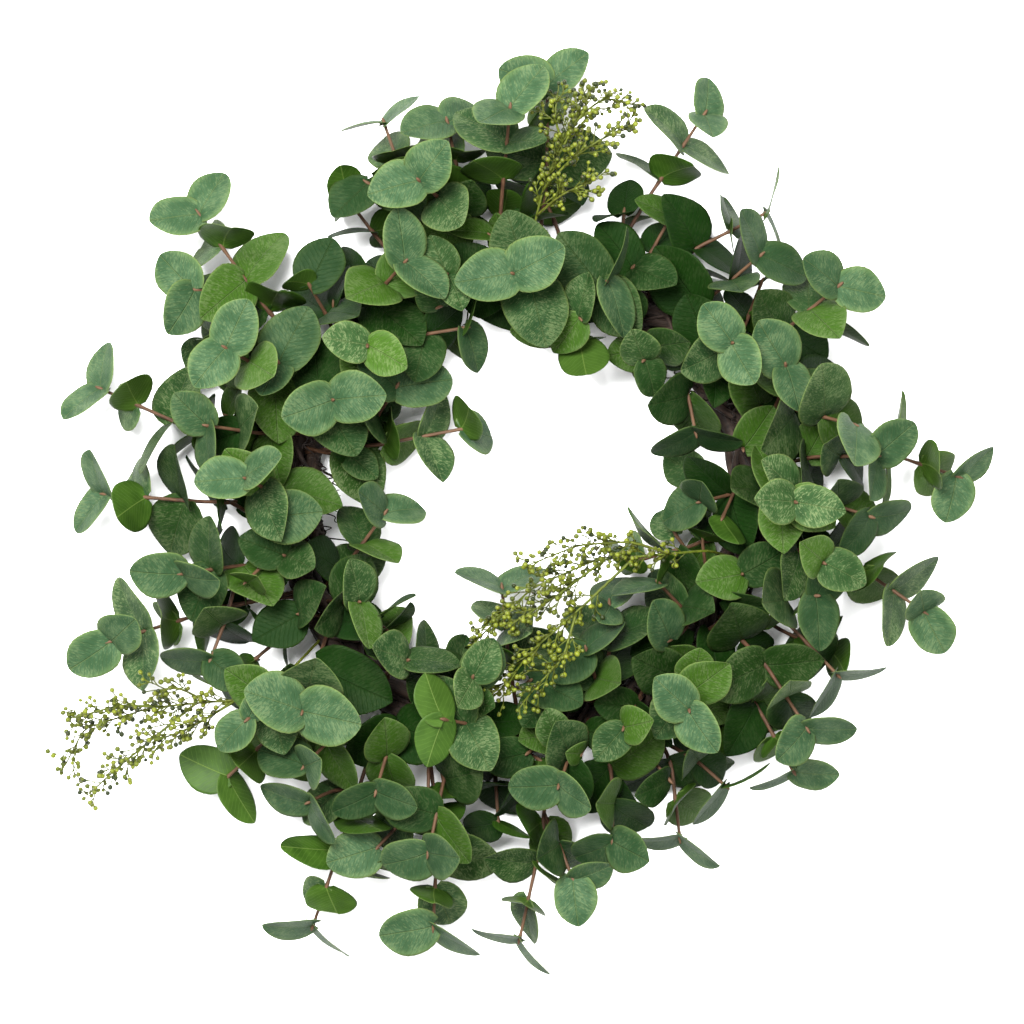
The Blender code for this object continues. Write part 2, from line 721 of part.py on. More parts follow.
def main():
    clear_scene()
    wreath = new_collection("wreath")
    cutters = new_collection("cutters")
    bark = make_material("vine bark", BARK_COLOUR, 0.85)
    green = make_material("eucalyptus leaf", LEAF_COLOUR, 0.6)
    olive = make_material("berry", BERRY_COLOUR, 0.5)
    ring = make_ring(wreath, cutters, bark)
    ring_tree = evaluated_tree(ring)

    obstacles = Obstacles()
    sprays = {}
    for name, (angle, *branches) in SPRAYS.items():
        sprays[name] = spray_branches(angle, branches)
        for path in sprays[name]:
            surface = path.at(path.leaves_bundle() - STEM_ROOM)
            outside = [surface] + [point for point in path.points if bundle_distance(point) > BUNDLE_RADIUS]
            obstacles.add(tube_tree(outside, SPRAY_SPACE), outside)
    stems = grow_stems(obstacles)
    obstacles.items.append((RING_CENTRE, RING_RADIUS + 2 * BUNDLE_RADIUS, bundle_tree()))
    foliage = [grow_leaves(stem, number, obstacles) for number, stem in enumerate(stems)]

    for name, paths in sprays.items():
        make_spray(name, paths, ring_tree, wreath, olive)
    for index in range(len(SPRIGS)):
        own = [stem for stem in stems if stem.sprig == index]
        leaves = [leaf for stem, grown in zip(stems, foliage) if stem.sprig == index for leaf in grown]
        make_sprig(index + 1, own, leaves, ring_tree, wreath, green)


main()
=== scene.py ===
"""Looks of the round-leaved eucalyptus wreath: fine leaves, stems, vines and berries.

Metres, +Z up. The wreath lies on its back and the camera looks straight down on it. The sprigs
grow by the same rule and from the same tables as the solids that they replace.
"""

import math
import random
from collections import namedtuple

import bpy
import numpy as np
from mathutils import Matrix, Quaternion, Vector
from mathutils.bvhtree import BVHTree
from mathutils.geometry import interpolate_bezier


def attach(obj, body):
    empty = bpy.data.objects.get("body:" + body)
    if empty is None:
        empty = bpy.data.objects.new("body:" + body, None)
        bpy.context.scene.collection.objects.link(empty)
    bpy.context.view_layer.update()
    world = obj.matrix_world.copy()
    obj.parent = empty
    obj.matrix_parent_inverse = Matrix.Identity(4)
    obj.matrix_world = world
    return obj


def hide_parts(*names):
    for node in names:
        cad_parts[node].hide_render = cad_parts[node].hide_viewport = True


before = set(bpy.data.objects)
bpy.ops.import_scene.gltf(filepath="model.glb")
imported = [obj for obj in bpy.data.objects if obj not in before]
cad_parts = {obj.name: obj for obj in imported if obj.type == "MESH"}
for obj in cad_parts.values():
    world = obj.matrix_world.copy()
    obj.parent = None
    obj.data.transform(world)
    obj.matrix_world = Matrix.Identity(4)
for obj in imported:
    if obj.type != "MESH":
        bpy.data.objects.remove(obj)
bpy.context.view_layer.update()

MM = 0.001
UP = Vector((0, 0, 1))

# The photo's frame: its width in pixels, what one is at the height of the leaves, and how far its
# middle lies from the wreath's, in pixels.
PHOTO_WIDTH = 1024
PIXEL = 0.65 * MM
PHOTO_MIDDLE = -11
PHOTO_PLANE = 50 * MM

# Ring of twisted vines
RING_CENTRE = Vector((-2, 8, 14.4)) * MM
RING_RADIUS = 150 * MM
RING_WANDER = 4 * MM
RING_WAVES = 3
STRAND_UNEVEN = 0.35
BUNDLE_RADIUS = 18 * MM
BUNDLE_STEPS = 48
BUNDLE_SIDES = 10

# Stems
STEM_BASE_RADIUS = 1.5 * MM
STEM_TIP_RADIUS = 1.0 * MM
STEM_BUD = 5 * MM
STEM_STEP = 64 * MM
STEM_ROOM = 4 * MM
STEM_LIFTS = (0, 0.15, -0.15, 0.3, -0.3, 0.5, 0.7)
BARE_STEM = 8 * MM
PATH_POINTS = 49
HEADING_REACH = 2 * MM
STEM_LEAVING = 0.4
STEM_ARRIVING = 0.35

# Leaves
INTERNODE = 26 * MM
LEAF_THICKNESS = 0.75 * MM
LEAF_WIDTH = 0.96
LEAF_INSET = 0.55 * MM
LEAF_FOLD = math.radians(12)
LEAF_DROOP = 0.10
LEAF_SIDE = ((0.3, 0.84), (0.74, 0.88))
TIP_SCALE = (0.85, 1.0, 1.1, 1.15, 1.18, 1.18)
OPENINGS = (64, 70, 74, 76, 76, 76)
FACING_SPREAD = 0.25
STEEP = 0.2
UNDERSIDE_UP = -0.1
LENGTH_SPREAD = (0.94, 1.06)
TWIST_SPREAD = 12
OPENING_SPREAD = 6
SHRINKS = (1.0, 0.92, 0.82, 0.7)
ATTEMPTS = 9
SEARCH_STEP = 7
SWING_SHARE = 0.7
TILT_SHARE = 0.8
CLEARANCE = 0.6 * MM
TEST_WIDER = 1.04
TEST_LONGER = 1.03
LOWEST_LEAF = 2.5 * MM

# Sprigs: root is the angle round the ring where the stem is pushed in, tip is in millimetres, aim is
# the heading at the tip as azimuth and height in degrees, leaf is the length of a full leaf in
# millimetres, roll turns the pair at the tip about the stem, lift raises the stem's start, and facing
# says how far the leaves turn to the viewer.
Sprig = namedtuple("Sprig", "root tip aim pairs leaf roll lift facing", defaults=(0.9, 0.4))
SPRIGS = [Sprig(*row) for row in (
    # Left side, from the top down
    (148, (-213, 197, 50), (118, 15), 4, 40, 22, 0.5, 0.8),
    (140, (-140, 150, 60), (130, 40), 3, 42, 20),
    (154, (-192, 106, 96), (150, 78), 3, 40, 0),
    (171, (-279, 82, 42), (147, 10), 4, 38, 22, 0.4, 0.5),
    (163, (-206, 56, 78), (160, 35), 4, 40, 30, 0.9, 0.2),
    (159, (-121, 72, 84), (280, 70), 3, 44, 0),
    (181, (-276, 12, 44), (170, 20), 4, 40, -22, 0.4, 0.35),
    (176, (-178, 22, 100), (100, 50), 4, 40, 0, 0.9, 0.15),
    (198, (-222, -40, 80), (270, 72), 3, 38, 0),
    (203, (-271, -85, 56), (220, 72), 3, 40, 90, 0.5),
    # Lower left
    (213, (-142, -130, 86), (65, 65), 3, 48, 10),
    (219, (-178, -134, 92), (225, 72), 3, 34, -90),
    (224, (-196, -176, 36), (225, -25), 3, 40, 0, 0.3),
    (230, (-143, -166, 72), (185, 60), 3, 38, -80),
    (241, (-96, -184, 66), (265, 35), 3, 38, 20),
    (236, (-139, -275, 28), (250, 0), 4, 38, -22, 0.2, 0.25),
    (246, (-59, -276, 32), (252, 5), 4, 40, 0, 0.3, 0.5),
    (254, (-62, -224, 66), (258, 25), 4, 40, 60, 0.9, 0.5),
    # Bottom
    (262, (-53, -132, 88), (180, -25), 3, 38, 0),
    (278, (-3, -284, 28), (246, 0), 4, 36, 0, 0.2, 0.35),
    (283, (22, -178, 80), (225, 40), 3, 38, 40),
    (290, (58, -218, 56), (250, 15), 4, 40, 45, 0.5, 0.75),
    (302, (103, -217, 36), (245, 5), 3, 38, 22, 0.3, 0.15),
    (313, (106, -128, 94), (215, 65), 4, 38, 0),
    # Right side, from the bottom up
    (321, (178, -172, 44), (272, 10), 3, 38, 0, 0.4, 0.5),
    (330, (184, -142, 78), (285, 25), 4, 40, 0, 0.9, 0.5),
    (339, (206, -108, 58), (300, 5), 3, 38, 0, 0.6, 0.15),
    (356, (264, -67, 48), (295, 50), 5, 37, 90, 0.4, 0.1),
    (358, (228, -4, 60), (280, 20), 4, 38, 0, 0.5, 0.3),
    (16, (288, 22, 36), (318, 0), 3, 37, 0, 0.3, 0.35),
    (7, (230, 36, 76), (330, 50), 4, 38, -10),
    (24, (215, 55, 84), (300, 66), 4, 46, 0),
    (30, (206, 148, 72), (40, 50), 3, 40, 35, 0.9, 0.75),
    (38, (134, 108, 94), (210, 70), 4, 38, 0),
    (50, (156, 168, 66), (50, 25), 3, 42, 20),
    # Top
    (60, (162, 197, 38), (0, 5), 3, 38, 20, 0.3, 0.25),
    (71, (120, 262, 46), (50, 45), 3, 36, -62, 0.5, 0.1),
    (66, (54, 148, 84), (350, -15), 4, 44, 0, 0.9, 0.35),
    (78, (-8, 153, 88), (100, 70), 4, 46, 0),
    (86, (16, 284, 34), (100, 10), 4, 38, -10, 0.3, 0.9),
    (96, (-8, 263, 78), (80, 62), 4, 42, 60),
    (103, (-50, 257, 52), (115, 20), 3, 42, 30, 0.5, 0.75),
    (112, (-92, 258, 38), (115, 0), 3, 36, 0, 0.3, 0.15),
    (131, (-74, 162, 84), (25, 30), 4, 42, 0, 0.9, 0.5),
    # Into the opening
    (142, (-34, 120, 56), (0, 10), 4, 38, 22, 0.5, 0.25),
    (168, (-36, 55, 38), (18, 5), 5, 37, 67, 0.4, 0.45),
    (205, (-88, 2, 46), (65, 20), 5, 36, 45, 0.5, 0.4),
    (236, (-96, -68, 52), (115, 20), 4, 38, -22, 0.5, 0.15),
    (252, (-32, -108, 70), (150, 66), 3, 38, 0),
    (270, (-14, -46, 36), (90, 5), 5, 38, 22, 0.3, 0.4),
    (292, (40, -86, 62), (110, 20), 4, 38, 30, 0.6, 0.3),
    (325, (86, -44, 56), (130, 15), 4, 38, 10, 0.5),
    (4, (112, 6, 58), (180, 20), 4, 40, -67, 0.6, 0.2),
    (46, (113, 48, 50), (283, 10), 4, 40, 22, 0.5, 0.25),
    (80, (38, 108, 52), (275, -35), 5, 42, -90, 0.6, 0.1),
)]

# Shoots grow from a sprig, given by its place in the table above, at a share of its length.
Shoot = namedtuple("Shoot", "sprig share tip aim pairs leaf roll lift facing", defaults=(0.6, 0.4))
SHOOTS = [Shoot(*row) for row in (
    (3, 0.35, (-158, 98, 74), (110, 45), 2, 46, 40, 0.6, 0.5),
    (7, 0.35, (-164, -4, 74), (100, 70), 2, 46, 0),
    (9, 0.5, (-204, -100, 58), (240, 30), 2, 42, 30, 0.2),
    (20, 0.4, (34, -243, 46), (285, 20), 3, 40, 20, 0.3, 0.6),
    (23, 0.35, (134, -180, 56), (300, 10), 3, 40, 0, 0.3, 0.2),
    (27, 0.35, (192, -54, 66), (290, -20), 3, 44, 0),
    (42, 0.4, (-68, 213, 92), (120, 72), 3, 40, 0),
    (51, 0.35, (56, -56, 50), (120, 15), 3, 38, 60, 0.3),
    (50, 0.3, (6, -108, 60), (60, 40), 2, 42, 0, 0.4),
    (52, 0.3, (92, -84, 66), (150, 45), 2, 42, 30, 0.4),
    (1, 0.5, (-218, 144, 56), (205, 20), 2, 42, 20, 0.3, 0.6),
    (16, 0.4, (-142, -190, 50), (240, 20), 2, 42, 20, 0.3),
    (17, 0.4, (-98, -222, 44), (250, 20), 2, 42, 20, 0.3),
    (32, 0.35, (168, 96, 82), (180, 60), 2, 44, 0),
    (43, 0.4, (-104, 216, 50), (150, 20), 2, 40, 20, 0.3, 0.6),
    (46, 0.35, (-80, 84, 60), (60, 50), 2, 42, 20, 0.3),
)]
SEED = 7

# Berry sprays: the angle round the ring where each is pushed in, and its branches as points in
# millimetres. The first branch carries the others.
BERRY_TURN = math.radians(137.5)
BARE_TWIG = 0.2
TWIG_RADIUS = 0.9 * MM
SPRAY_SPACE = 9 * MM
SPRAYS = {
    "berry_spray_left": (
        214,
        ((-168, -121, 54), (-205, -123, 60), (-242, -127, 56), (-286, -141, 44), (-299, -165, 36)),
        ((-205, -123, 60), (-222, -113, 66), (-236, -115, 66)),
        ((-212, -124, 59), (-240, -147, 62), (-262, -165, 56), (-282, -183, 46)),
        ((-234, -126, 57), (-262, -125, 64), (-290, -133, 62)),
        ((-186, -122, 57), (-214, -139, 70), (-236, -147, 74)),
    ),
    "berry_spray_top": (
        86,
        ((6, 180, 54), (12, 205, 64), (22, 232, 70), (34, 256, 66), (44, 274, 58)),
        ((13, 208, 65), (30, 226, 77), (48, 238, 80), (68, 248, 78)),
        ((17, 219, 67), (36, 254, 78), (52, 266, 78), (70, 262, 74)),
        ((9, 192, 59), (24, 204, 74), (44, 212, 80)),
        ((26, 238, 69), (20, 252, 75), (22, 268, 74)),
    ),
    "berry_spray_centre": (
        345,
        ((120, -25, 52), (94, -27, 66), (46, -31, 72), (6, -49, 66), (-28, -81, 54)),
        ((94, -27, 66), (70, -19, 76), (36, -21, 80), (6, -33, 76)),
        ((72, -29, 69), (40, -59, 78), (6, -89, 72), (-16, -117, 60), (-34, -131, 52)),
        ((34, -65, 77), (26, -93, 84), (4, -117, 80)),
        ((52, -31, 71), (20, -55, 80), (-6, -71, 74)),
    ),
}


def ring_point(angle):
    """Point on the middle line of the bundle, at an angle in degrees round the ring."""
    turn = math.radians(angle)
    radius = RING_RADIUS + RING_WANDER * math.sin(RING_WAVES * turn + 1)
    return RING_CENTRE + Vector((radius * math.cos(turn), radius * math.sin(turn), 0))


def ring_axes(angle):
    """Point on the middle line of the bundle, and the way out of the ring there."""
    middle = ring_point(angle)
    return middle, (middle - RING_CENTRE).normalized()


def turned(outward, turn):
    """The way out of the bundle at a turn round its middle line."""
    return outward * math.cos(turn) + UP * math.sin(turn)


class Path:
    """Line through points in metres, measured along its length."""

    def __init__(self, points):
        self.points = [Vector(point) for point in points]
        self.marks = [0.0]
        for before, after in zip(self.points, self.points[1:]):
            self.marks.append(self.marks[-1] + (after - before).length)
        self.length = self.marks[-1]

    def at(self, distance):
        """Point at a distance from the start, or the nearer end."""
        distance = min(max(distance, 0), self.length)
        for index in range(1, len(self.marks)):
            if distance <= self.marks[index]:
                span = self.marks[index] - self.marks[index - 1]
                share = (distance - self.marks[index - 1]) / span
                return self.points[index - 1].lerp(self.points[index], share)
        return self.points[-1]

    def heading(self, distance):
        """Way that the line runs at a distance from its start."""
        near = self.at(distance - HEADING_REACH)
        far = self.at(distance + HEADING_REACH)
        return (far - near).normalized()

    def leaves_bundle(self):
        """Distance at which the stem comes out of the round space that the bundle fills."""
        distance = 0.0
        while distance < self.length and bundle_distance(self.at(distance)) < BUNDLE_RADIUS:
            distance += 1 * MM
        return distance


def stem_path(root, plan, lift):
    """Smooth line from a root to the tip of a sprig or a shoot."""
    tip = Vector(plan.tip) * MM
    azimuth, height = (math.radians(value) for value in plan.aim)
    level = Vector((math.cos(azimuth), math.sin(azimuth), 0))
    aim = level * math.cos(height) + UP * math.sin(height)
    reach = (tip - root).length
    out = ((tip - root).normalized() + UP * (plan.lift + lift)).normalized()
    leaving = root + out * reach * STEM_LEAVING
    arriving = tip - aim * reach * STEM_ARRIVING
    return Path(interpolate_bezier(root, leaving, arriving, tip, PATH_POINTS))


def bundle_distance(point):
    """How far a point is from the middle line of the bundle."""
    offset = point - RING_CENTRE
    angle = math.degrees(math.atan2(offset.y, offset.x))
    return (point - ring_point(angle)).length


def band_faces(rings, sides):
    """Quads between rings of vertices, ring after ring."""
    faces = []
    for ring in range(rings - 1):
        first, after = ring * sides, (ring + 1) * sides
        for side in range(sides):
            beside = (side + 1) % sides
            faces.append((first + side, first + beside, after + beside, after + side))
    return faces


def tube_tree(points, radius):
    """Square tube as a search tree, to test what a stem would touch."""
    corners = []
    for index, point in enumerate(points):
        before = points[max(index - 1, 0)]
        after = points[min(index + 1, len(points) - 1)]
        along = (after - before).normalized()
        side = along.orthogonal().normalized() * radius
        other = along.cross(side)
        corners += [point + side, point + other, point - side, point - other]
    return BVHTree.FromPolygons(corners, band_faces(len(points), 4))


def meets(tree, obstacles, skip=()):
    """Whether a search tree meets one that was placed before it, apart from those to skip."""
    return any(other not in skip and tree.overlap(other) for other in obstacles)


def bundle_tree():
    """Plain ring round the bundle, which leaves keep out of."""
    corners = []
    faces = []
    for step in range(BUNDLE_STEPS):
        middle, outward = ring_axes(360 * step / BUNDLE_STEPS)
        this = step * BUNDLE_SIDES
        after = (step + 1) % BUNDLE_STEPS * BUNDLE_SIDES
        for side in range(BUNDLE_SIDES):
            corners.append(middle + turned(outward, 2 * math.pi * side / BUNDLE_SIDES) * BUNDLE_RADIUS)
            beside = (side + 1) % BUNDLE_SIDES
            faces.append((this + side, after + side, after + beside, this + beside))
    return BVHTree.FromPolygons(corners, faces)


def stem_bends(path, start):
    """Distances along the stem of its bends, from its start to its tip."""
    count = max(2, round(path.length / STEM_STEP))
    bends = [path.length * step / count for step in range(1, count + 1)]
    return [start] + [bend for bend in bends if bend > start + STEM_ROOM]


def node_distances(path, pairs, bare):
    """Distances along the stem of its leaf pairs, from the tip down to the bare part."""
    distances = [path.length - STEM_BUD]
    while len(distances) < pairs and distances[-1] - INTERNODE > bare:
        distances.append(distances[-1] - INTERNODE)
    return distances


def chord_point(path, bends, distance):
    """Point on the straight piece of stem between two bends."""
    for low, high in zip(bends, bends[1:]):
        if low <= distance <= high:
            return path.at(low).lerp(path.at(high), (distance - low) / (high - low))
    return path.at(distance)


def leaf_frame(node, along, axis, opening, facing, twist):
    """Place of a leaf: Y runs to its tip, Z is its upper face."""
    heading = (along * math.cos(opening) + axis * math.sin(opening)).normalized()
    upper = (along - heading * along.dot(heading)).normalized()
    level = UP - heading * UP.dot(heading)
    if level.length > STEEP:
        level.normalize()
        if level.dot(upper) < UNDERSIDE_UP:
            level = -level
        upper = (upper * (1 - facing) + level * facing).normalized()
    upper = Quaternion(heading, twist) @ upper
    across = heading.cross(upper)
    rotation = Matrix((across, heading, upper)).transposed().to_4x4()
    return Matrix.Translation(node + heading * LEAF_INSET) @ rotation


# Faces and rim of a leaf's plain form, whose corners are its base, its tip, and its sides
PLAIN_FACES = ((2, 3, 1), (4, 5, 1), (0, 2, 4), (2, 4, 1))
PLAIN_RIM = (0, 2, 3, 1, 5, 4)


def leaf_test_faces():
    """Both faces of a leaf's plain form, joined at the rim."""
    count = len(PLAIN_RIM)
    faces = [[index + first for index in face] for first in (0, count) for face in PLAIN_FACES]
    for start, end in zip(PLAIN_RIM, PLAIN_RIM[1:] + PLAIN_RIM[:1]):
        faces.append([start, end, end + count, start + count])
    return faces


LEAF_TEST_FACES = leaf_test_faces()


def leaf_test(place, length):
    """Search tree of a leaf with its thickness, and its corners in the wreath. Its plain form is a
    flat trough from its base to its tip, with raised sides."""
    half = length * LEAF_WIDTH / 2
    corners = [Vector((0, 0, 0)), Vector((0, length, -LEAF_DROOP * length))]
    for sign in (1, -1):
        for along, across in LEAF_SIDE:
            rise = half * across * math.tan(LEAF_FOLD) - LEAF_DROOP * length * along * along
            corners.append(Vector((sign * half * across, along * length, rise)))
    gap = LEAF_THICKNESS / 2 + CLEARANCE
    grown = []
    for offset in (gap, -gap):
        for corner in corners:
            spread = Vector((corner.x * TEST_WIDER, corner.y * TEST_LONGER, corner.z + offset))
            grown.append(place @ spread)
    return BVHTree.FromPolygons(grown, LEAF_TEST_FACES), grown


Leaf = namedtuple("Leaf", "place length")


def place_leaf(rng, obstacles, stem, node, along, axis, length, pair):
    """First attitude of the leaf that touches nothing placed before it, or None."""
    facing = max(stem.plan.facing + rng.uniform(-1, 1) * FACING_SPREAD, 0)
    base_twist = rng.gauss(0, TWIST_SPREAD)
    base_opening = OPENINGS[pair] + rng.gauss(0, OPENING_SPREAD)
    for shrink in SHRINKS:
        for attempt in range(ATTEMPTS):
            spread = SEARCH_STEP * attempt
            swing = Quaternion(along, math.radians(rng.uniform(-1, 1) * spread * SWING_SHARE))
            tilt = math.radians(base_opening + rng.uniform(-1, 1) * spread * TILT_SHARE)
            twist = math.radians(base_twist + rng.uniform(-1, 1) * spread)
            place = leaf_frame(node, along, swing @ axis, tilt, facing, twist)
            tree, corners = leaf_test(place, length * shrink)
            low = min(corner.z for corner in corners) < LOWEST_LEAF
            if not low and not meets(tree, obstacles, stem.own):
                obstacles.append(tree)
                return Leaf(place, length * shrink)
    return None


Stem = namedtuple("Stem", "plan path bends nodes own sprig")


def grow_stem(plan, sprig, root, obstacles, parent=None, ring=None):
    """Stem bent clear of what was placed before it. A filler, which alone is given the ring, is left
    out where it finds no way."""
    skip = ring or (parent.own if parent else ())
    for lift in STEM_LIFTS:
        path = stem_path(root, plan, lift)
        start = 0.0 if parent else path.leaves_bundle() - STEM_ROOM
        if ring and path.length - start < BARE_STEM + STEM_BUD:
            return None
        bends = stem_bends(path, start)
        outside = [path.at(bend) for bend in bends]
        if not meets(tube_tree(outside, STEM_BASE_RADIUS + CLEARANCE), obstacles, skip):
            break
    else:
        if ring:
            return None
    nodes = node_distances(path, plan.pairs, start + BARE_STEM)
    obstacles.append(tube_tree(outside, STEM_BASE_RADIUS))
    return Stem(plan, path, bends, nodes, obstacles[-1:], sprig)


def grow_stems(obstacles):
    """Stems of the sprigs, and then of the shoots that grow from them."""
    stems = []
    for index, plan in enumerate(SPRIGS):
        stems.append(grow_stem(plan, index, ring_point(plan.root), obstacles))
    for plan in SHOOTS:
        parent = stems[plan.sprig - 1]
        root = chord_point(parent.path, parent.bends, parent.path.length * plan.share)
        stems.append(grow_stem(plan, parent.sprig, root, obstacles, parent))
    return stems


def grow_leaves(stem, number, obstacles):
    """Leaves of a stem, pair by pair from its tip, each pair a quarter turn from the last."""
    rng = random.Random(SEED + number)
    along = stem.path.heading(stem.path.length)
    reference = Quaternion(along, math.radians(stem.plan.roll)) @ along.cross(UP).normalized()
    leaves = []
    for pair, distance in enumerate(stem.nodes):
        along = stem.path.heading(distance)
        axis = (reference - along * reference.dot(along)).normalized()
        node = chord_point(stem.path, stem.bends, distance)
        length = stem.plan.leaf * MM * TIP_SCALE[pair] * rng.uniform(*LENGTH_SPREAD)
        for sign in (1, -1):
            leaf = place_leaf(rng, obstacles, stem, node, along, axis * sign, length, pair)
            if leaf:
                leaves.append((leaf, pair))
        reference = along.cross(axis)
    return leaves


# Fine shapes

# Leaves: the mesh of a blade, its thickness and form, and in pairs what each leaf draws from
LEAF_ROWS = 13
LEAF_COLUMNS = 10
MARGIN_CLOSER = 0.6
BLADE_THICKNESS = 0.45 * MM
RIM_THICKNESS = 0.25 * MM
BASE_LOBE = 0.10
YOUNG_LOBE = 0.07
BASE_FULLNESS = 3.2
TIP_FULLNESS = 2.1
TIP_FLATTER = 0.45
TIP_SHARPER = 0.36
WIDEST_PLACE = (0.40, 0.48)
POINTED = (0.5, 1.1)
OLD_WIDTH = (0.84, 0.99)
YOUNG_WIDTH = 0.96
BLADE_WAVE = 0.032
WAVE_SPREAD = (0.4, 1.0)
LEAF_UNEVEN = 0.055
LOBE_FADE = 6
LEAF_TROUGH = 0.65
LEAF_LEAN = (-0.05, 0.05)
LEAF_CUP = (0.6, 1.7)
LEAF_CURL = (-0.05, 0.09)
# Ripples of a leaf's outline and of its margin: how far each turns from base to tip, and how far it is
# shifted, one way on the one side and the other way on the other, in radians
OUTLINE_RIPPLE = (5, 1.8)
MARGIN_RIPPLE = (7, 1.3)
# How much rounder, calmer and flatter a young leaf is, and how young each pair is, from the tip
YOUNG_ROUNDER = 0.45
YOUNG_CALMER = 0.6
YOUNG_FLATTER = 0.5
YOUTH = (1.0, 0.45, 0.15, 0.0, 0.0, 0.0)
# Painted shade: where the leaves are painted dark, down between the others, for the shade that falls there
PAINTED_SHADE_LEVEL = 94 * MM
PAINTED_SHADE_FADE = 45 * MM
PAINTED_SHADE_RING = (80 * MM, 258 * MM)

# Stems
STEM_SMOOTHING = 7 * MM
STEM_RING_STEP = 3 * MM
FINE_STEM_SIDES = 8
NODE_SWELL = 0.35
NODE_REACH = 2.2 * MM
BLUNT_TIP = 0.45
SUNK_STEM = 10 * MM

# Places of the materials of a stem and of a berry in their pieces
BARK_SLOT = 2
SKIN_SLOT = 1


def add_object(name, data):
    """Puts a mesh, a lamp or a camera into the scene."""
    item = bpy.data.objects.new(name, data)
    bpy.context.scene.collection.objects.link(item)
    return item


class Builder:
    """Gathers vertices, faces and what the materials read of them, and makes one piece of them."""

    def __init__(self, materials):
        self.materials = materials
        self.parts = []
        self.faces = []
        self.count = 0

    def add(self, points, blade, tone, faces, slots):
        """blade is across, along and towards the margin of each vertex, tone is one for them all, and
        slots has the material of each face."""
        self.parts.append((points, blade, np.broadcast_to(tone, (len(points), 3)), slots))
        self.faces.extend([[index + self.count for index in face] for face in faces])
        self.count += len(points)

    def piece(self, name):
        """Makes an object of what was added, riding on the wreath."""
        points, blade, tone, slots = (np.concatenate(rows) for rows in zip(*self.parts))
        mesh = bpy.data.meshes.new(name)
        mesh.from_pydata(points.tolist(), [], self.faces)
        for material in self.materials:
            mesh.materials.append(material)
        mesh.polygons.foreach_set("material_index", slots.astype(np.int32))
        for label, values in (("blade", blade), ("tone", tone)):
            attribute = mesh.attributes.new(label, "FLOAT_VECTOR", "POINT")
            attribute.data.foreach_set("vector", values.astype(np.float32).ravel())
        mesh.shade_smooth()
        mesh.update()
        item = add_object(name, mesh)
        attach(item, "root")
        return item


def leaf_outline(rng, along, point):
    """Half width of a leaf, as a share of its widest, at places along it."""
    widest = rng.uniform(*WIDEST_PLACE)
    base = np.clip((widest - along) / widest, 0, 1)
    tip = np.clip((along - widest) / (1 - widest), 0, 1)
    below = np.sqrt(1 - base ** BASE_FULLNESS)
    above = (1 - tip ** (TIP_FULLNESS - TIP_FLATTER * point)) ** (0.5 + TIP_SHARPER * point)
    return np.where(along < widest, below, above)


def leaf_template():
    """Faces of a closed leaf blade: rows of vertices, then the base and the tip, on both faces."""
    rows, columns = LEAF_ROWS - 1, LEAF_COLUMNS + 1
    side = rows * columns + 2
    base, tip = side - 2, side - 1
    grid = [list(range(row * columns, (row + 1) * columns)) for row in range(rows)]
    upper = []
    for low, high in zip(grid, grid[1:]):
        upper += [[a, b, d, c] for a, b, c, d in zip(low, low[1:], high, high[1:])]
    for column in range(columns - 1):
        upper.append([base, grid[0][column + 1], grid[0][column]])
        upper.append([tip, grid[-1][column], grid[-1][column + 1]])
    under = [[index + side for index in face[::-1]] for face in upper]
    margin = [base] + [row[-1] for row in grid] + [tip] + [row[0] for row in grid[::-1]]
    rim = [[start, start + side, end + side, end] for start, end in zip(margin, margin[1:] + margin[:1])]
    return upper + under + rim, [0] * len(upper) + [1] * len(under) + [0] * len(rim)


def leaf_grid():
    """Places along and across a leaf, closer together at its ends and at its margin."""
    steps = np.arange(1, LEAF_ROWS) / LEAF_ROWS
    along = (1 - np.cos(np.pi * steps)) / 2
    spread = np.linspace(-1, 1, LEAF_COLUMNS + 1)
    spread = np.sin(spread * np.pi / 2) * MARGIN_CLOSER + spread * (1 - MARGIN_CLOSER)
    return np.meshgrid(along, spread, indexing="ij")


LEAF_FACES, LEAF_SLOTS = leaf_template()
LEAF_ALONG, LEAF_ACROSS = leaf_grid()
# How near the margin each vertex is; the base has 0 and the tip 1
LEAF_MARGIN = np.append(np.maximum(np.abs(LEAF_ACROSS), LEAF_ALONG ** 14), [0, 1])


def leaf_painted_shade(leaf):
    """Painted shade of a leaf, by how deep inside the wreath it is: 0 at its face and its edges, 1 down
    between the others.
    """
    middle = leaf.place @ Vector((0, leaf.length / 2, 0))
    aside = math.hypot(middle.x - RING_CENTRE.x, middle.y - RING_CENTRE.y)
    low = (PAINTED_SHADE_LEVEL - middle.z) / PAINTED_SHADE_FADE
    within = min((PAINTED_SHADE_RING[1] - aside) / PAINTED_SHADE_FADE, (aside - PAINTED_SHADE_RING[0]) / PAINTED_SHADE_FADE)
    return max(0.0, min(1.0, low, within))


def ripple(form, phase):
    """Wave along both sides of a leaf."""
    turn, lag = form
    return np.sin(LEAF_ALONG * turn + phase + np.sign(LEAF_ACROSS) * lag)


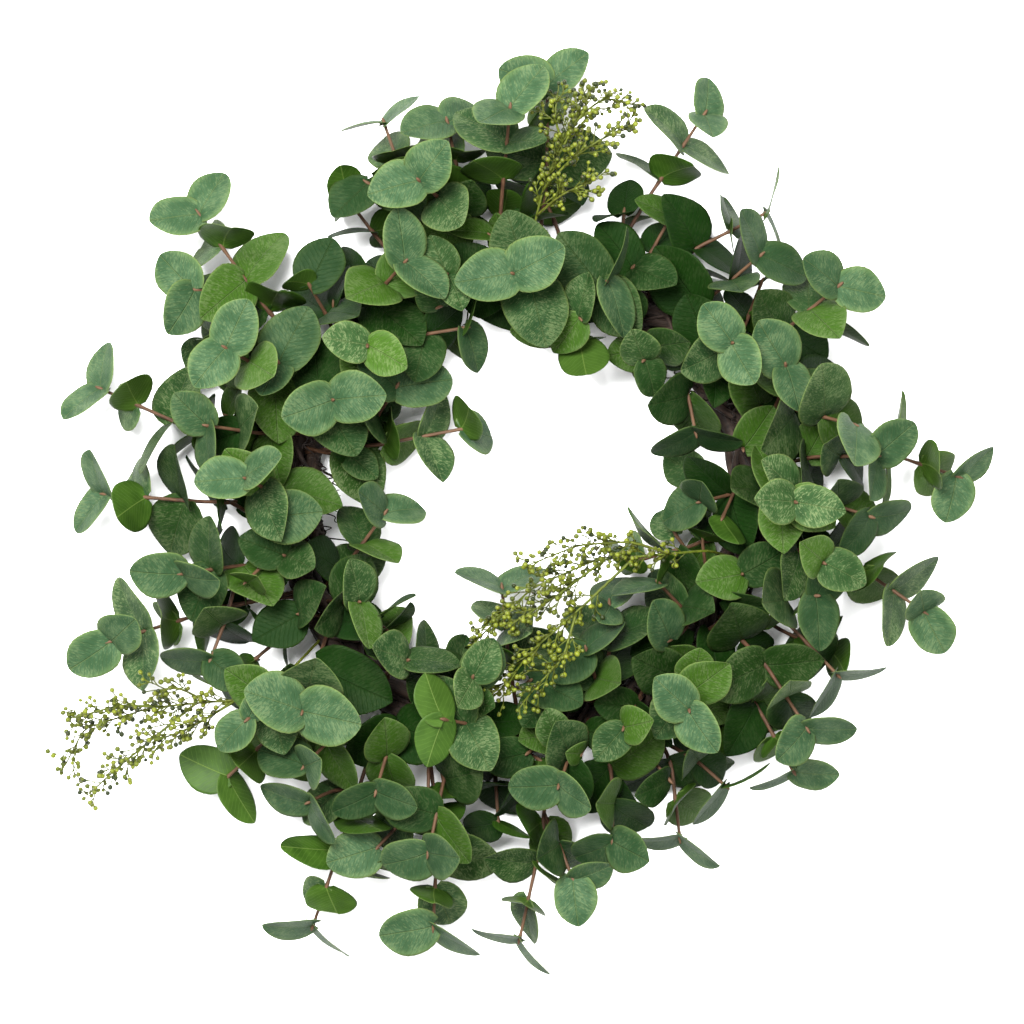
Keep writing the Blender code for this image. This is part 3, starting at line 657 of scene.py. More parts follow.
def leaf_blade(rng, length, young):
    """Middle face of a blade, and how far across it each vertex is. Its base is rounded and clasping,
    and it is cupped about its midrib, waved at its margin and curled towards its tip."""
    u, v, side = LEAF_ALONG, LEAF_ACROSS, np.abs(LEAF_ACROSS)
    point = rng.uniform(*POINTED) * (1 - YOUNG_ROUNDER * young)
    width = leaf_outline(rng, u[:, 0], point)
    width = width * (rng.uniform(*OLD_WIDTH) * (1 - young) + YOUNG_WIDTH * young)
    wave = rng.uniform(*WAVE_SPREAD) * BLADE_WAVE * length * (1 - YOUNG_CALMER * young)
    phase = rng.uniform(0, 2 * math.pi)
    lean = rng.uniform(*LEAF_LEAN) * length
    slope = math.tan(LEAF_FOLD) * rng.uniform(LEAF_CUP[0], LEAF_CUP[1] - YOUNG_FLATTER * young)
    curl = rng.uniform(*LEAF_CURL) * length * (1 - YOUNG_FLATTER * young)

    uneven = 1 + LEAF_UNEVEN * ripple(OUTLINE_RIPPLE, phase * 3) * side
    half = length * LEAF_WIDTH / 2 * width[:, None] * uneven
    lobes = (BASE_LOBE + YOUNG_LOBE * young) * length * side ** 2 * (1 - u) ** LOBE_FADE
    trough = half * slope * LEAF_TROUGH * (1 - u) * (1 - side)
    sides = half * side * slope + wave * side ** 2 * ripple(MARGIN_RIPPLE, phase)
    rise = trough + sides - LEAF_DROOP * length * u * u + curl * u ** 3
    grid = np.stack([half * v + lean * u * u, u * length - lobes, rise], axis=-1).reshape(-1, 3)
    tip = (lean, length, curl - LEAF_DROOP * length)
    return np.vstack([grid, (0, 0, 0), tip]), np.append(half * v, [0, 0])


def add_leaf(builder, rng, leaf, young, seed):
    """Closed blade of a leaf, thinner at its margin."""
    middle, across = leaf_blade(rng, leaf.length, young)
    rim = LEAF_MARGIN ** 3
    shift = np.zeros_like(middle)
    shift[:, 2] = (BLADE_THICKNESS * (1 - rim) + RIM_THICKNESS * rim) / 2
    matrix = np.array(leaf.place)
    points = np.vstack([middle + shift, middle - shift]) @ matrix[:3, :3].T + matrix[:3, 3]
    blade = np.stack([across / MM, middle[:, 1] / MM, LEAF_MARGIN], axis=-1)
    # The third number of the tone is the leaf's painted shade, for leaves down between the others
    tone = (young, seed, leaf_painted_shade(leaf))
    builder.add(points, np.vstack([blade, blade]), tone, LEAF_FACES, LEAF_SLOTS)


def tube_faces(rings, sides):
    """Faces of a closed tube: its rings of vertices, then one at its start and one at its end."""
    faces = band_faces(rings, sides)
    start, end = rings * sides, rings * sides + 1
    last = start - sides
    for side in range(sides):
        beside = (side + 1) % sides
        faces.append((start, beside, side))
        faces.append((end, last + side, last + beside))
    return faces


def add_tube(builder, rng, points, radii, sides, slot=0, thin=0, lowest=-math.inf):
    """Round tube with closed ends along points, its seam turned as little as possible."""
    line = np.array([tuple(point) for point in points])
    tangents = np.gradient(line, axis=0)
    tangents /= np.linalg.norm(tangents, axis=1)[:, None]
    normal = np.array(Vector(tangents[0]).orthogonal().normalized())
    turns = np.linspace(0, 2 * math.pi, sides, endpoint=False)
    rings = []
    for place, tangent, radius in zip(line, tangents, radii):
        normal = normal - tangent * normal.dot(tangent)
        normal /= np.linalg.norm(normal)
        circle = np.outer(np.cos(turns), normal) + np.outer(np.sin(turns), np.cross(tangent, normal))
        rings.append(place + circle * radius)
    body = np.vstack([*rings, line[0], line[-1]])
    body[:, 2] = np.maximum(body[:, 2], lowest)
    travelled = np.cumsum(np.append(0, np.linalg.norm(np.diff(line, axis=0), axis=1))) / MM
    shares = np.linspace(0, 1, len(line))
    blade = [np.tile(turns, len(line)), np.repeat(travelled, sides), np.repeat(shares, sides)]
    blade = np.vstack([np.stack(blade, axis=-1), (0, 0, 0), (0, travelled[-1], 1)])
    faces = tube_faces(len(line), sides)
    builder.add(body, blade, (thin, rng.random(), 0), faces, [slot] * len(faces))


def rounded_line(point_at, start, end, step, smoothing, spare=0.0):
    """Distances from start to end, the last ones spare apart or more, and the points there, with the
    bends between them rounded off."""
    distances = [*np.arange(start, end - spare, step), end]
    points = []
    for distance in distances:
        room = min(smoothing, end - distance, distance - start)
        near, here, far = (point_at(distance + shift) for shift in (-room, 0, room))
        points.append((near + here * 2 + far) / 4)
    return distances, points


def add_stem(builder, rng, stem, start):
    """Round stem, swollen at its leaf pairs and blunt at its tip."""
    length = stem.path.length
    distances, points = rounded_line(
        lambda distance: chord_point(stem.path, stem.bends, distance),
        start, length, STEM_RING_STEP, STEM_SMOOTHING, STEM_RING_STEP / 2,
    )
    shares = np.array(distances) / length
    radii = STEM_BASE_RADIUS * (1 - shares) + STEM_TIP_RADIUS * shares
    for node in stem.nodes:
        radii *= 1 + NODE_SWELL * np.exp(-(((np.array(distances) - node) / NODE_REACH) ** 2))
    radii[-1] *= BLUNT_TIP
    add_tube(builder, rng, points, radii, FINE_STEM_SIDES, BARK_SLOT)


# Vines: how far each winds from the middle of the bundle and its own radius, in millimetres, how often
# it goes round the bundle, and where it starts, in radians.
Vine = namedtuple("Vine", "orbit radius twists start")
VINES = [Vine(*row) for row in (
    (3.5, 5.4, 4, 0.0),
    (9.6, 5.2, 5, 0.8),
    (10.2, 5.0, 5, 2.9),
    (10.4, 4.7, 5, 4.9),
    (12.4, 3.0, 7, 1.6),
    (12.9, 2.6, -6, 3.4),
    (12.6, 2.8, 7, 5.6),
    (13.6, 1.7, 9, 0.4),
    (13.9, 1.5, -8, 2.2),
    (13.8, 1.3, 11, 4.1),
)]
VINE_STEPS = 260
VINE_SIDES = 10
VINE_ROUGHNESS = 0.08
VINE_KNOTS = (23, 9)
VINE_SEED = 3
ORBIT_UNEVEN = 0.05
ORBIT_WAVES = 5
STRAND_WAVES = 2
# Angles round the ring where thin curls show, most of them on its inner side
TENDRILS = (
    156, 160, 164, 169, 177, 182, 187, 212, 217, 236, 262,
    300, 320, 344, 24, 29, 34, 76, 81, 86, 104, 128,
)
TENDRIL_SEED = 11
TENDRIL_TRIES = 5
TENDRIL_SHIFT = (-2, 2)
TENDRIL_SEEN = 1 / 3
TENDRIL_STEPS = 44
TENDRIL_RADIUS = 0.7 * MM
TENDRIL_SIDES = 6
TENDRIL_THINNER = 0.55
TENDRIL_NARROWING = 0.5
TENDRIL_OPENING = 1.2
TENDRIL_RISE = 0.8
TENDRIL_SLANT = 0.5
# Where on the bundle they spring, in degrees and millimetres, how often they curl round, and how wide
# and how long they are, in millimetres
TENDRIL_WIND = (95, 178)
TENDRIL_FOOT = 13
TENDRIL_TURNS = (1.2, 2.6)
TENDRIL_COIL = (2.5, 5.5)
TENDRIL_LENGTH = (20, 38)

# Berry sprays; pairs of numbers are ranges, in millimetres for lengths and sizes, but TWIG_ENDS has a
# share of the radius for the start of a twig and one for its end
FINE_BERRY_SPACING = 3.0 * MM
SPACING_SPREAD = (0.7, 1.3)
FINE_STALK = (6.0, 16.0)
STALK_LEAN = (0.8, 2.0)
STALK_BEND = 0.3 * MM
STALK_RADIUS = 0.36 * MM
STALK_WIDTHS = (1.3, 1.0, 1.2)
STALK_SIDES = 5
TIP_STALK = 0.5
FORK_SHARES = (0.3, 0.45, 0.6, 0.75, 0.9)
FORK_SPREAD = (0.6, 1.1)
FORK_LENGTH = 0.38
FORK_CHANCE = 0.62
FINE_BERRY = (1.25, 1.85)
DARK_CHANCE = 0.18
LIGHT_BERRY = (0, 0.35)
TWIG_SIDES = 7
TWIG_STEP = 3 * MM
TWIG_SMOOTHING = 6 * MM
TWIG_ENDS = (1.1, 0.6)
BERRY_ROWS = 6
BERRY_SIDES = 8
BERRY_TIP = 1.12
BERRY_SEAT = 0.9
SPRAY_SEED = 70

# Short leafy shoots that fill the wreath between the sprigs
FILLER_SHOOTS = [Sprig(*row) for row in (
    (0, (74, -32, 38), (140, 10), 2, 40, 90, 0.3, 0.5),
    (330, (98, -12, 32), (180, 45), 2, 40, 65, 0.3, 0.5),
    (350, (118, -20, 24), (230, 10), 2, 40, -40, 0.3, 0.5),
    (342, (142, -40, 62), (100, 60), 2, 40, 10, 0.3, 0.5),
    (334, (130, -56, 58), (200, 60), 2, 40, 40, 0.3, 0.5),
)]
FILLERS = 800
FIRST_FILLER = 500
FILLER_SECTORS = 12
FILLER_SEED = 40
FILLER_YOUTH = 0.35
FILLER_LOWEST = 14 * MM
FILLER_INSIDE = 110 * MM
FILLER_WIND = (-5, 185)
FILLER_REACH = (36, 88)
FILLER_SIDEWAYS = 42
FILLER_SWERVE = 0.5
FILLER_HEIGHT = (-0.2, 0.95)
FILLER_LIFT = 0.3
FILLER_LEAF = (31, 42)
FILLER_FACING = (-0.25, 0.3)
FILLER_ROLL = (-90, 90)
LONG_FILLER = 60
# Places round the ring where the vines show between the leaves, in millimetres
BARE_PLACES = ((-141, 56), (-133, 4), (-125, -90), (36, 168), (122, 70), (76, -74))
BARE_REACH = 32 * MM
SPRIG_SEED = 1000


def add_vines(builder):
    """Vines wound round the ring's middle line, knotty, and flat where they would be under the floor."""
    rng = random.Random(VINE_SEED)
    close, wide = VINE_KNOTS
    for vine in VINES:
        points = []
        radii = []
        drift = rng.uniform(0, 6)
        for step in range(VINE_STEPS + 1):
            angle = 360 * step / VINE_STEPS
            middle, outward = ring_axes(angle)
            turn = math.radians(angle)
            wind = turn * vine.twists + vine.start + STRAND_UNEVEN * math.sin(STRAND_WAVES * turn + drift)
            orbit = vine.orbit * MM * (1 + ORBIT_UNEVEN * math.sin(ORBIT_WAVES * turn + drift))
            points.append(middle + turned(outward, wind) * orbit)
            knots = math.sin(close * turn + drift) * math.sin(wide * turn + 2 * drift)
            radii.append(vine.radius * MM * (1 + VINE_ROUGHNESS * knots))
        add_tube(builder, rng, points, radii, VINE_SIDES, lowest=0.0)


def add_tendrils(builder, obstacles, ring):
    """Thin curls that spring from the vines where no leaf is in their way."""
    rng = random.Random(TENDRIL_SEED)
    shares = [step / TENDRIL_STEPS for step in range(TENDRIL_STEPS + 1)]
    for angle in TENDRILS * TENDRIL_TRIES:
        middle, outward = ring_axes(angle + rng.uniform(*TENDRIL_SHIFT))
        tangent = outward.cross(UP) * rng.choice((-1, 1))
        rise = turned(outward, math.radians(rng.uniform(*TENDRIL_WIND)))
        turns = rng.uniform(*TENDRIL_TURNS)
        coil = rng.uniform(*TENDRIL_COIL) * MM
        length = rng.uniform(*TENDRIL_LENGTH) * MM
        points = []
        for share in shares:
            swing = share * turns * 2 * math.pi
            widening = math.sin(math.pi * min(share * TENDRIL_OPENING, 1) / 2)
            width = coil * widening * (1 - TENDRIL_NARROWING * share)
            forward = rise * length * TENDRIL_RISE * share + tangent * length * TENDRIL_SLANT * share
            across = rise * math.sin(swing) + outward * (1 - math.cos(swing))
            points.append(middle + rise * TENDRIL_FOOT * MM + forward + across * width)
        free = [point for point in points if bundle_distance(point) > BUNDLE_RADIUS]
        hidden = len(free) < TENDRIL_STEPS * TENDRIL_SEEN
        if not hidden and not meets(tube_tree(free, TENDRIL_RADIUS), obstacles, ring):
            radii = [TENDRIL_RADIUS * (1 - TENDRIL_THINNER * share) for share in shares]
            add_tube(builder, rng, points, radii, TENDRIL_SIDES, thin=1, lowest=0.0)


def berry_template():
    """Corners of a round berry of radius 1 with a slight tip, and its faces."""
    polar = np.arange(1, BERRY_ROWS) * np.pi / BERRY_ROWS
    turn = np.arange(BERRY_SIDES) * 2 * np.pi / BERRY_SIDES
    polar, turn = np.meshgrid(polar, turn, indexing="ij")
    corners = [np.sin(polar) * np.cos(turn), np.sin(polar) * np.sin(turn), -np.cos(polar)]
    corners = np.stack(corners, axis=-1).reshape(-1, 3)
    return np.vstack([corners, (0, 0, -1), (0, 0, BERRY_TIP)]), tube_faces(BERRY_ROWS - 1, BERRY_SIDES)


BERRY_POINTS, BERRY_FACES = berry_template()


def add_berry(builder, rng, foot, direction, radius):
    """Berry whose base sits on the end of its stalk."""
    centre = foot + direction * radius * BERRY_SEAT
    matrix = np.array(direction.to_track_quat("Z", "Y").to_matrix())
    points = (BERRY_POINTS * radius) @ matrix.T + np.array(centre)
    blade = BERRY_POINTS * np.array((1, 1, 0.5)) + np.array((0, 0, 0.5))
    dark = 1.0 if rng.random() < DARK_CHANCE else rng.uniform(*LIGHT_BERRY)
    builder.add(points, blade, (dark, rng.random(), 0), BERRY_FACES, [SKIN_SLOT] * len(BERRY_FACES))


def add_stalk(builder, rng, foot, direction, length):
    """Thin stalk with a berry on its end."""
    end = foot + direction * length
    bend = Vector((rng.uniform(-1, 1), rng.uniform(-1, 1), 0)) * STALK_BEND
    radii = [STALK_RADIUS * width for width in STALK_WIDTHS]
    add_tube(builder, rng, [foot, foot.lerp(end, 0.5) + bend, end], radii, STALK_SIDES)
    add_berry(builder, rng, end, direction, rng.uniform(*FINE_BERRY) * MM)


def sideways(along, turn):
    """The way square to another one, at a turn about it."""
    return Quaternion(along, turn) @ along.orthogonal().normalized()


def add_stalks(builder, rng, path, bare):
    """Berries on short forked stalks, from the tip of a twig down to its bare part."""
    distance = path.length
    turn = rng.uniform(0, 6)
    while distance > bare:
        foot = path.at(distance)
        direction = path.heading(distance)
        at_tip = distance == path.length
        if not at_tip:
            lean = direction * rng.uniform(*STALK_LEAN)
            direction = (sideways(direction, turn) + lean).normalized()
        length = rng.uniform(*FINE_STALK) * MM * (TIP_STALK if at_tip else 1)
        add_stalk(builder, rng, foot, direction, length)
        for share in FORK_SHARES:
            if rng.random() < FORK_CHANCE and not at_tip:
                aside = sideways(direction, rng.uniform(0, 2 * math.pi))
                leaning = (direction + aside * rng.uniform(*FORK_SPREAD)).normalized()
                add_stalk(builder, rng, foot + direction * length * share, leaning, length * FORK_LENGTH)
        distance -= FINE_BERRY_SPACING * rng.uniform(*SPACING_SPREAD)
        turn += BERRY_TURN


def add_spray(builder, rng, paths):
    """Twigs of a spray, crowded with berries; the first one starts inside the ring."""
    for index, path in enumerate(paths):
        start = 0.0 if index else path.leaves_bundle() - SUNK_STEM
        distances, points = rounded_line(path.at, start, path.length, TWIG_STEP, TWIG_SMOOTHING)
        radii = TWIG_RADIUS * np.interp(distances, (0, path.length), TWIG_ENDS)
        add_tube(builder, rng, points, radii, TWIG_SIDES)
        bare = path.length * BARE_TWIG if index else (path.marks[1] + path.marks[2]) / 2
        add_stalks(builder, rng, path, bare)


def random_filler(rng):
    """Plan of a short shoot from the bundle, or None where the wreath stays open."""
    angle = rng.uniform(0, 360)
    root, outward = ring_axes(angle)
    tangent = outward.cross(UP)
    rise = turned(outward, math.radians(rng.uniform(*FILLER_WIND)))
    reach = rng.uniform(*FILLER_REACH)
    tip = root + rise * reach * MM + tangent * rng.uniform(-1, 1) * FILLER_SIDEWAYS * MM
    tip.z = max(tip.z, FILLER_LOWEST)
    inside = math.hypot(tip.x - RING_CENTRE.x, tip.y - RING_CENTRE.y) < FILLER_INSIDE
    if inside or any(math.hypot(tip.x - x * MM, tip.y - y * MM) < BARE_REACH for x, y in BARE_PLACES):
        return None
    aim = (tip - root).normalized() + tangent * rng.uniform(-FILLER_SWERVE, FILLER_SWERVE)
    azimuth = math.degrees(math.atan2(aim.y, aim.x))
    lowest, highest = FILLER_HEIGHT
    height = math.degrees(math.asin(max(lowest, min(highest, aim.normalized().z))))
    leaf = rng.uniform(*FILLER_LEAF)
    pairs = 2 if reach < LONG_FILLER else 3
    facing = rng.uniform(*FILLER_FACING)
    roll = rng.uniform(*FILLER_ROLL)
    return Sprig(angle, tip / MM, (azimuth, height), pairs, leaf, roll, FILLER_LIFT, facing)


def add_sprig(builder, stem, leaves, number, youth=1.0):
    """Stem and leaves; youth is how pale the leaves at its end are."""
    rng = random.Random(SPRIG_SEED + number)
    add_stem(builder, rng, stem, max(stem.bends[0] - SUNK_STEM, 0.0))
    for leaf, pair in leaves:
        add_leaf(builder, rng, leaf, youth * YOUTH[pair], rng.random())


# Materials, with colours as linear red, green and blue


class Shade:
    """Short calls for building a material's nodes."""

    def __init__(self, name):
        self.material = bpy.data.materials.new(name)
        self.material.use_nodes = True
        self.tree = self.material.node_tree
        self.shader = self.tree.nodes["Principled BSDF"]

    def link(self, source, target):
        """Joins an output to an input, or sets the input to a number or a colour."""
        if isinstance(source, (int, float)):
            target.default_value = source
        elif isinstance(source, tuple):
            target.default_value = (*source, 1)
        else:
            self.tree.links.new(source, target)

    def node(self, kind, inputs, output=0, **settings):
        """New node with its settings, then its inputs by name or number; gives one of its outputs."""
        node = self.tree.nodes.new("ShaderNode" + kind)
        for name, value in settings.items():
            setattr(node, name, value)
        for key, source in inputs.items():
            self.link(source, node.inputs[key])
        return node.outputs[output]

    def math(self, operation, *values):
        return self.node("Math", dict(enumerate(values)), operation=operation)

    def scaled(self, value, factor, offset=0.0):
        return self.math("MULTIPLY_ADD", value, factor, offset)

    def step(self, value, low, high):
        """0 below low, 1 above high, smooth between; the other way round if low is above high."""
        below, above = (1.0, 0.0) if low > high else (0.0, 1.0)
        inputs = {"From Min": min(low, high), "From Max": max(low, high), "To Min": below, "To Max": above}
        return self.node("MapRange", {"Value": value, **inputs}, interpolation_type="SMOOTHSTEP")

    def mix(self, factor, first, second):
        return self.node("Mix", {0: factor, 6: first, 7: second}, 2, data_type="RGBA")

    def layered(self, base, *layers):
        """Colours laid over a base one by one, each where its mask is and with its strength."""
        for colour, mask, strength in layers:
            base = self.mix(self.scaled(mask, strength), base, colour)
        return base

    def attribute(self, name):
        """The three numbers that the mesh keeps under a name."""
        vector = self.node("Attribute", {}, "Vector", attribute_name=name)
        return list(self.node("SeparateXYZ", {0: vector}).node.outputs)

    def noise(self, x, y, z, scale, detail, roughness=0.55, distortion=0.0):
        place = self.node("CombineXYZ", {0: x, 1: y, 2: z})
        form = {"Scale": scale, "Detail": detail, "Roughness": roughness, "Distortion": distortion}
        return self.node("TexNoise", {"Vector": place, **form}, "Fac")

    def finish(self, colour, roughness, specular=0.5, relief=None, strength=1.0, depth=0.0):
        """The material, with a relief on it whose depth is in metres."""
        if relief is not None:
            bump = {"Strength": strength, "Distance": depth, "Height": relief}
            self.link(self.node("Bump", bump), self.shader.inputs["Normal"])
        self.link(colour, self.shader.inputs["Base Color"])
        self.link(roughness, self.shader.inputs["Roughness"])
        self.link(specular, self.shader.inputs["Specular IOR Level"])
        return self.material


def leaf_veins(shade):
    """Side veins that run forward from the midrib, the midrib, the streaks between, and blotches."""
    across, along = shade.attribute("blade")[:2]
    seed = shade.attribute("tone")[1]
    aside = shade.math("ABSOLUTE", across)
    forward = shade.scaled(aside, -0.75, along)
    shift = shade.scaled(seed, 90.0)
    wobble = shade.noise(across, along, shift, 0.16, 2.0)
    wave = shade.math("SINE", shade.scaled(shade.scaled(wobble, 3.2, forward), 1.75))
    veins = shade.step(wave, 0.86, 1.0)
    midrib = shade.step(aside, 0.55, 0.10)
    outward = shade.scaled(shade.scaled(along, 0.45, aside), 0.6)
    streaks = shade.noise(shade.scaled(forward, 1.7), outward, shift, 0.62, 4.0, 0.66, 0.5)
    blotches = shade.noise(across, along, shade.scaled(seed, 90.0, 31.0), 0.085, 2.0)
    return veins, midrib, streaks, blotches


def leaf_upper():
    """Waxy blue-green, speckled with yellow-green towards the tip. Young leaves are paler and plainer,
    and some of the others are fresh green. Leaves down between the others are darkened with painted shade."""
    shade = Shade("leaf_upper")
    along, margin = shade.attribute("blade")[1:]
    young, seed, painted_shade = shade.attribute("tone")
    veins, midrib, streaks, blotches = leaf_veins(shade)
    fresh = shade.math("MULTIPLY", shade.step(seed, 0.74, 0.78), shade.step(young, 0.8, 0.6))
    plain = shade.math("MAXIMUM", young, fresh)
    pale = shade.mix(shade.step(blotches, 0.30, 0.70), (0.0134, 0.031, 0.0138), (0.022, 0.044, 0.022))
    outer = shade.scaled(shade.step(along, 10.0, 42.0), 0.16, blotches)
    speckles = shade.step(shade.scaled(outer, 0.36, streaks), 0.70, 0.80)
    base = shade.layered(
        shade.mix(shade.step(blotches, 0.30, 0.66), (0.0036, 0.0145, 0.0022), (0.0115, 0.031, 0.0060)),
        ((0.0155, 0.033, 0.0042), seed, 0.6),
        ((0.019, 0.045, 0.004), fresh, 0.8),
        (pale, young, shade.scaled(fresh, -0.85, 0.85)),
        ((0.055, 0.088, 0.030), shade.step(margin, 0.62, 1.0), shade.scaled(young, 0.25, 0.2)),
        ((0.091, 0.115, 0.051), speckles, shade.scaled(plain, -0.4, 0.68)),
        ((0.039, 0.063, 0.021), veins, 0.22),
        ((0.047, 0.071, 0.024), midrib, 0.5),
        ((0.067, 0.091, 0.024), shade.step(margin, 0.92, 1.0), 0.65),
        # Painted shade: near-black green on leaves down between the others, weaker on fresh ones
        ((0.0014, 0.0080, 0.0003), painted_shade, shade.scaled(fresh, -0.5, 0.93)),
    )
    grooves = shade.scaled(veins, -0.35, shade.scaled(midrib, -0.8))
    relief = shade.scaled(streaks, 0.5, grooves)
    return shade.finish(base, shade.scaled(streaks, 0.2, 0.45), 0.03, relief, 0.9, 0.8 * MM)


def leaf_under():
    """Plain, glossier yellow-green underside with a raised midrib, darkened with painted shade on leaves
    down between the others.
    """
    shade = Shade("leaf_under")
    young, seed, painted_shade = shade.attribute("tone")
    veins, midrib, streaks, blotches = leaf_veins(shade)
    base = shade.layered(
        shade.mix(shade.step(blotches, 0.3, 0.7), (0.0071, 0.021, 0.0016), (0.0166, 0.039, 0.004)),
        ((0.024, 0.046, 0.0063), seed, 0.5),
        ((0.028, 0.052, 0.0111), young, 0.2),
        ((0.043, 0.080, 0.0134), veins, 0.3),
        ((0.062, 0.094, 0.0198), midrib, 0.6),
        # Painted shade: dark green on leaves down between the others
        ((0.004, 0.0142, 0.0008), painted_shade, 0.5),
    )
    relief = shade.scaled(veins, 0.3, midrib)
    return shade.finish(base, shade.scaled(streaks, 0.15, 0.40), 0.05, relief, 0.5, 0.4 * MM)


def lengthwise(shade, wide, tall, shift, scale, *form):
    """Streaks along a tube; wide and tall stretch them, and shift sets one tube off from another."""
    around, along = shade.attribute("blade")[:2]
    circle = shade.scaled(shade.math("SINE", around), wide)
    seed = shade.scaled(shade.attribute("tone")[1], shift)
    return shade.noise(circle, shade.scaled(along, tall), seed, scale, *form)


def stem_bark():
    """Reddish-brown young bark, tan towards the tip, with fine lengthwise streaks."""
    shade = Shade("stem_bark")
    streaks = lengthwise(shade, 2.0, 0.18, 50.0, 0.9, 4.0)
    tip = shade.step(shade.attribute("blade")[2], 0.45, 1.0)
    bark = shade.layered(
        shade.mix(shade.step(streaks, 0.35, 0.65), (0.0174, 0.0079, 0.004), (0.044, 0.021, 0.0103)),
        ((0.065, 0.036, 0.0182), tip, 0.55),
    )
    return shade.finish(bark, 0.62, 0.12, streaks, 0.4, 0.3 * MM)


def vine_bark():
    """Dark, peeling brown bark with lengthwise cracks; the tendrils are smoother and nearly black."""
    shade = Shade("vine_bark")
    tendril = shade.attribute("tone")[0]
    fibres = lengthwise(shade, 3.0, 0.09, 70.0, 0.8, 6.0, 0.65, 0.4)
    patches = lengthwise(shade, 3.0, 1.0, 70.0, 0.09, 3.0)
    bark = shade.layered(
        shade.mix(shade.step(fibres, 0.34, 0.66), (0.004, 0.0024, 0.0016), (0.0158, 0.0087, 0.0055)),
        ((0.028, 0.0174, 0.0111), shade.step(patches, 0.52, 0.75), 0.6),
        ((0.0055, 0.0032, 0.0024), tendril, 0.75),
    )
    return shade.finish(bark, shade.scaled(fibres, 0.3, 0.55), 0.15, fibres, 0.9, 1.2 * MM)


def twig_green():
    """Yellowish green bark with fine streaks, a little browner on some twigs."""
    shade = Shade("twig_green")
    streaks = lengthwise(shade, 1.0, 0.2, 1.0, 1.6, 3.0)
    bark = shade.layered(
        shade.mix(shade.step(streaks, 0.35, 0.65), (0.019, 0.027, 0.0016), (0.049, 0.062, 0.0047)),
        ((0.040, 0.027, 0.0063), shade.attribute("tone")[1], 0.2),
    )
    return shade.finish(bark, 0.55, 0.12, streaks, 0.3, 0.2 * MM)


def berry_skin():
    """Yellow-green berries, some olive to nearly black, browner where the flower dropped off."""
    shade = Shade("berry_skin")
    x, y, height = shade.attribute("blade")
    dark, seed = shade.attribute("tone")[:2]
    spots = shade.noise(x, y, shade.scaled(seed, 40.0), 2.6, 3.0)
    skin = shade.layered(
        shade.mix(seed, (0.022, 0.032, 0.0016), (0.079, 0.093, 0.0055)),
        ((0.150, 0.162, 0.028), shade.step(spots, 0.45, 0.7), 0.5),
        ((0.0095, 0.0142, 0.0032), dark, 1.0),
        ((0.027, 0.0182, 0.0071), shade.step(height, 0.90, 1.0), 0.7),
    )
    return shade.finish(skin, 0.42, 0.12, spots, 0.3, 0.2 * MM)


def floor_white():
    """Plain white, with a faint grain."""
    shade = Shade("floor_white")
    x, y = shade.attribute("position")[:2]
    grain = shade.noise(x, y, 0.0, 30.0, 2.0)
    return shade.finish(shade.mix(grain, (0.90, 0.90, 0.90), (0.92, 0.92, 0.92)), 0.9)


# Floor, light and camera

FLOOR_SIZE = 6
FLOOR_GAP = 0.1 * MM
WORLD_LIGHT = 1.15
LIT_POINT = Vector((0, 0, 50)) * MM
LAMPS = (("key", (-0.45, 0.65, 2.0), 0.9, 255), ("fill", (0.8, -0.4, 1.9), 1.6, 50))
LENS = 120
SENSOR_WIDTH = 36


def make_floor():
    bpy.ops.mesh.primitive_plane_add(size=FLOOR_SIZE, location=(0, 0, -FLOOR_GAP))
    floor = bpy.context.object
    floor.name = "floor"
    floor.data.materials.append(floor_white())


def make_light():
    """Even white light from all round, a key lamp from the upper left and a weak one opposite."""
    world = bpy.data.worlds.new("studio")
    world.use_nodes = True
    background = world.node_tree.nodes["Background"]
    background.inputs["Color"].default_value = (1, 1, 1, 1)
    background.inputs["Strength"].default_value = WORLD_LIGHT
    bpy.context.scene.world = world
    for name, place, size, power in LAMPS:
        light = bpy.data.lights.new(name, "AREA")
        light.size = size
        light.energy = power
        lamp = add_object(name, light)
        lamp.location = place
        lamp.rotation_euler = (LIT_POINT - Vector(place)).to_track_quat("-Z", "Y").to_euler()


def make_camera():
    """Camera that looks straight down and sees the photo's frame."""
    camera = bpy.data.cameras.new("camera")
    camera.lens = LENS
    camera.sensor_width = SENSOR_WIDTH
    view = add_object("camera", camera)
    height = PHOTO_PLANE + PHOTO_WIDTH * PIXEL * LENS / SENSOR_WIDTH
    view.location = (PHOTO_MIDDLE * PIXEL, 0, height)
    bpy.context.scene.camera = view
    bpy.context.scene.view_settings.view_transform = "Standard"


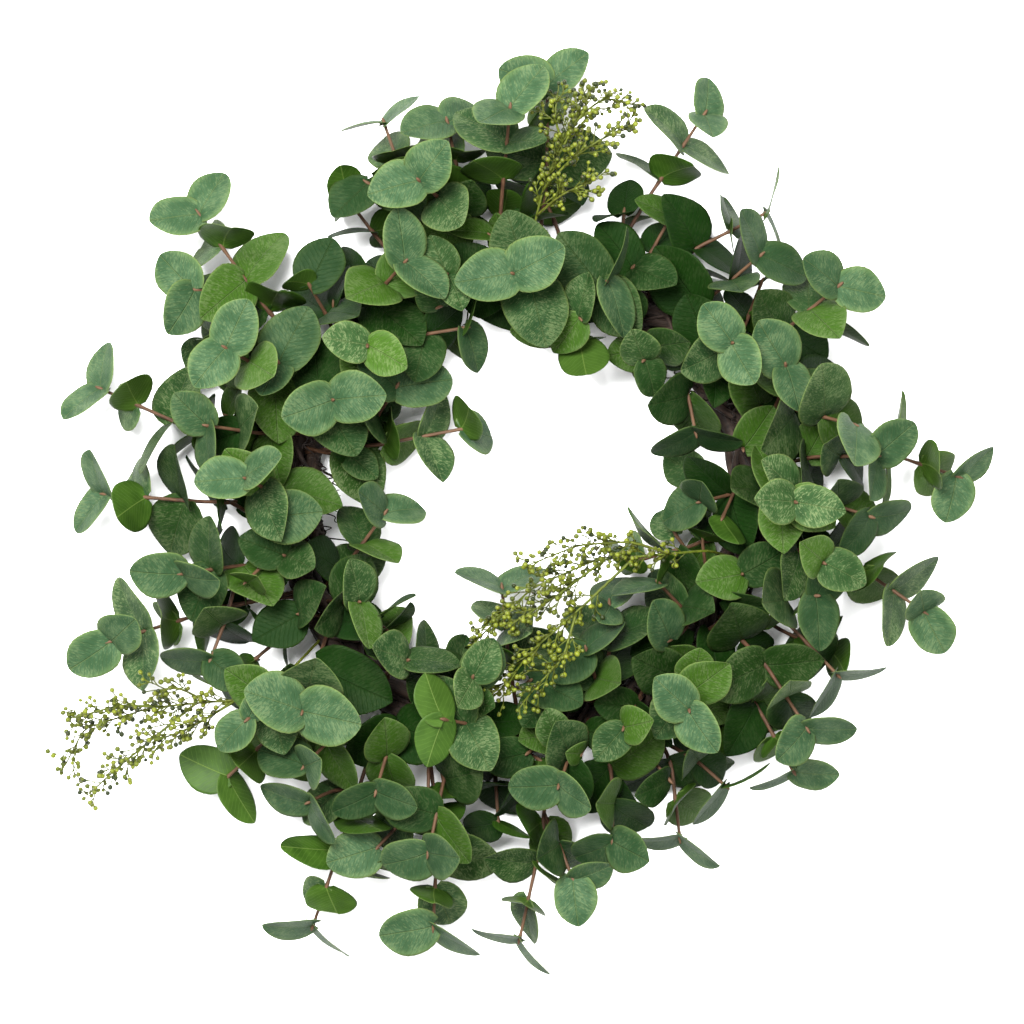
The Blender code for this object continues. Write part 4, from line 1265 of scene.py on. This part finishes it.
def place_sprays(obstacles):
    """Paths of each spray's twigs, which all else keeps clear of; the first one starts in the ring."""
    sprays = {}
    for name, (angle, *branches) in SPRAYS.items():
        lines = [[Vector(point) * MM for point in points] for points in branches]
        lines[0].insert(0, ring_point(angle))
        sprays[name] = [Path(line) for line in lines]
        for path in sprays[name]:
            surface = path.at(path.leaves_bundle() - STEM_ROOM)
            outside = [surface] + [point for point in path.points if bundle_distance(point) > BUNDLE_RADIUS]
            obstacles.append(tube_tree(outside, SPRAY_SPACE))
    return sprays


def make_sprigs(materials, stems, foliage):
    for index in range(len(SPRIGS)):
        builder = Builder(materials)
        for number, (stem, leaves) in enumerate(zip(stems, foliage)):
            if stem.sprig == index:
                add_sprig(builder, stem, leaves, number)
        name = f"sprig_{index + 1:02d}"
        piece = builder.piece(name + "_leaves")
        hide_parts(name)


def make_inner_leaves(materials, obstacles, ring):
    """Filler shoots, joined into one piece for each sector of the ring."""
    rng = random.Random(FILLER_SEED)
    sectors = [Builder(materials) for _ in range(FILLER_SECTORS)]
    plans = [*FILLER_SHOOTS, *(random_filler(rng) for _ in range(FILLERS))]
    for number, plan in enumerate(plans, FIRST_FILLER - len(FILLER_SHOOTS)):
        stem = plan and grow_stem(plan, number, ring_point(plan.root), obstacles, ring=ring)
        leaves = stem and grow_leaves(stem, number, obstacles)
        if leaves:
            add_sprig(sectors[int(plan.root / 360 * FILLER_SECTORS)], stem, leaves, number, FILLER_YOUTH)
    for number, builder in enumerate(sectors):
        piece = builder.piece(f"inner_leaves_{number + 1:02d}")


def make_vines(obstacles, ring):
    builder = Builder([vine_bark()])
    add_vines(builder)
    add_tendrils(builder, obstacles, ring)
    vines = builder.piece("vines")
    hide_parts("vine_ring")


def make_sprays(sprays):
    twig, skin = twig_green(), berry_skin()
    for number, (name, paths) in enumerate(sprays.items()):
        builder = Builder([twig, skin])
        add_spray(builder, random.Random(SPRAY_SEED + number), paths)
        piece = builder.piece(name + "_berries")
        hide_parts(name)


def main():
    make_floor()
    make_light()
    make_camera()
    materials = [leaf_upper(), leaf_under(), stem_bark()]

    obstacles = []
    sprays = place_sprays(obstacles)
    stems = grow_stems(obstacles)
    ring = [bundle_tree()]
    obstacles += ring
    foliage = [grow_leaves(stem, number, obstacles) for number, stem in enumerate(stems)]

    make_sprigs(materials, stems, foliage)
    make_inner_leaves(materials, obstacles, ring)
    make_vines(obstacles, ring)
    make_sprays(sprays)


main()
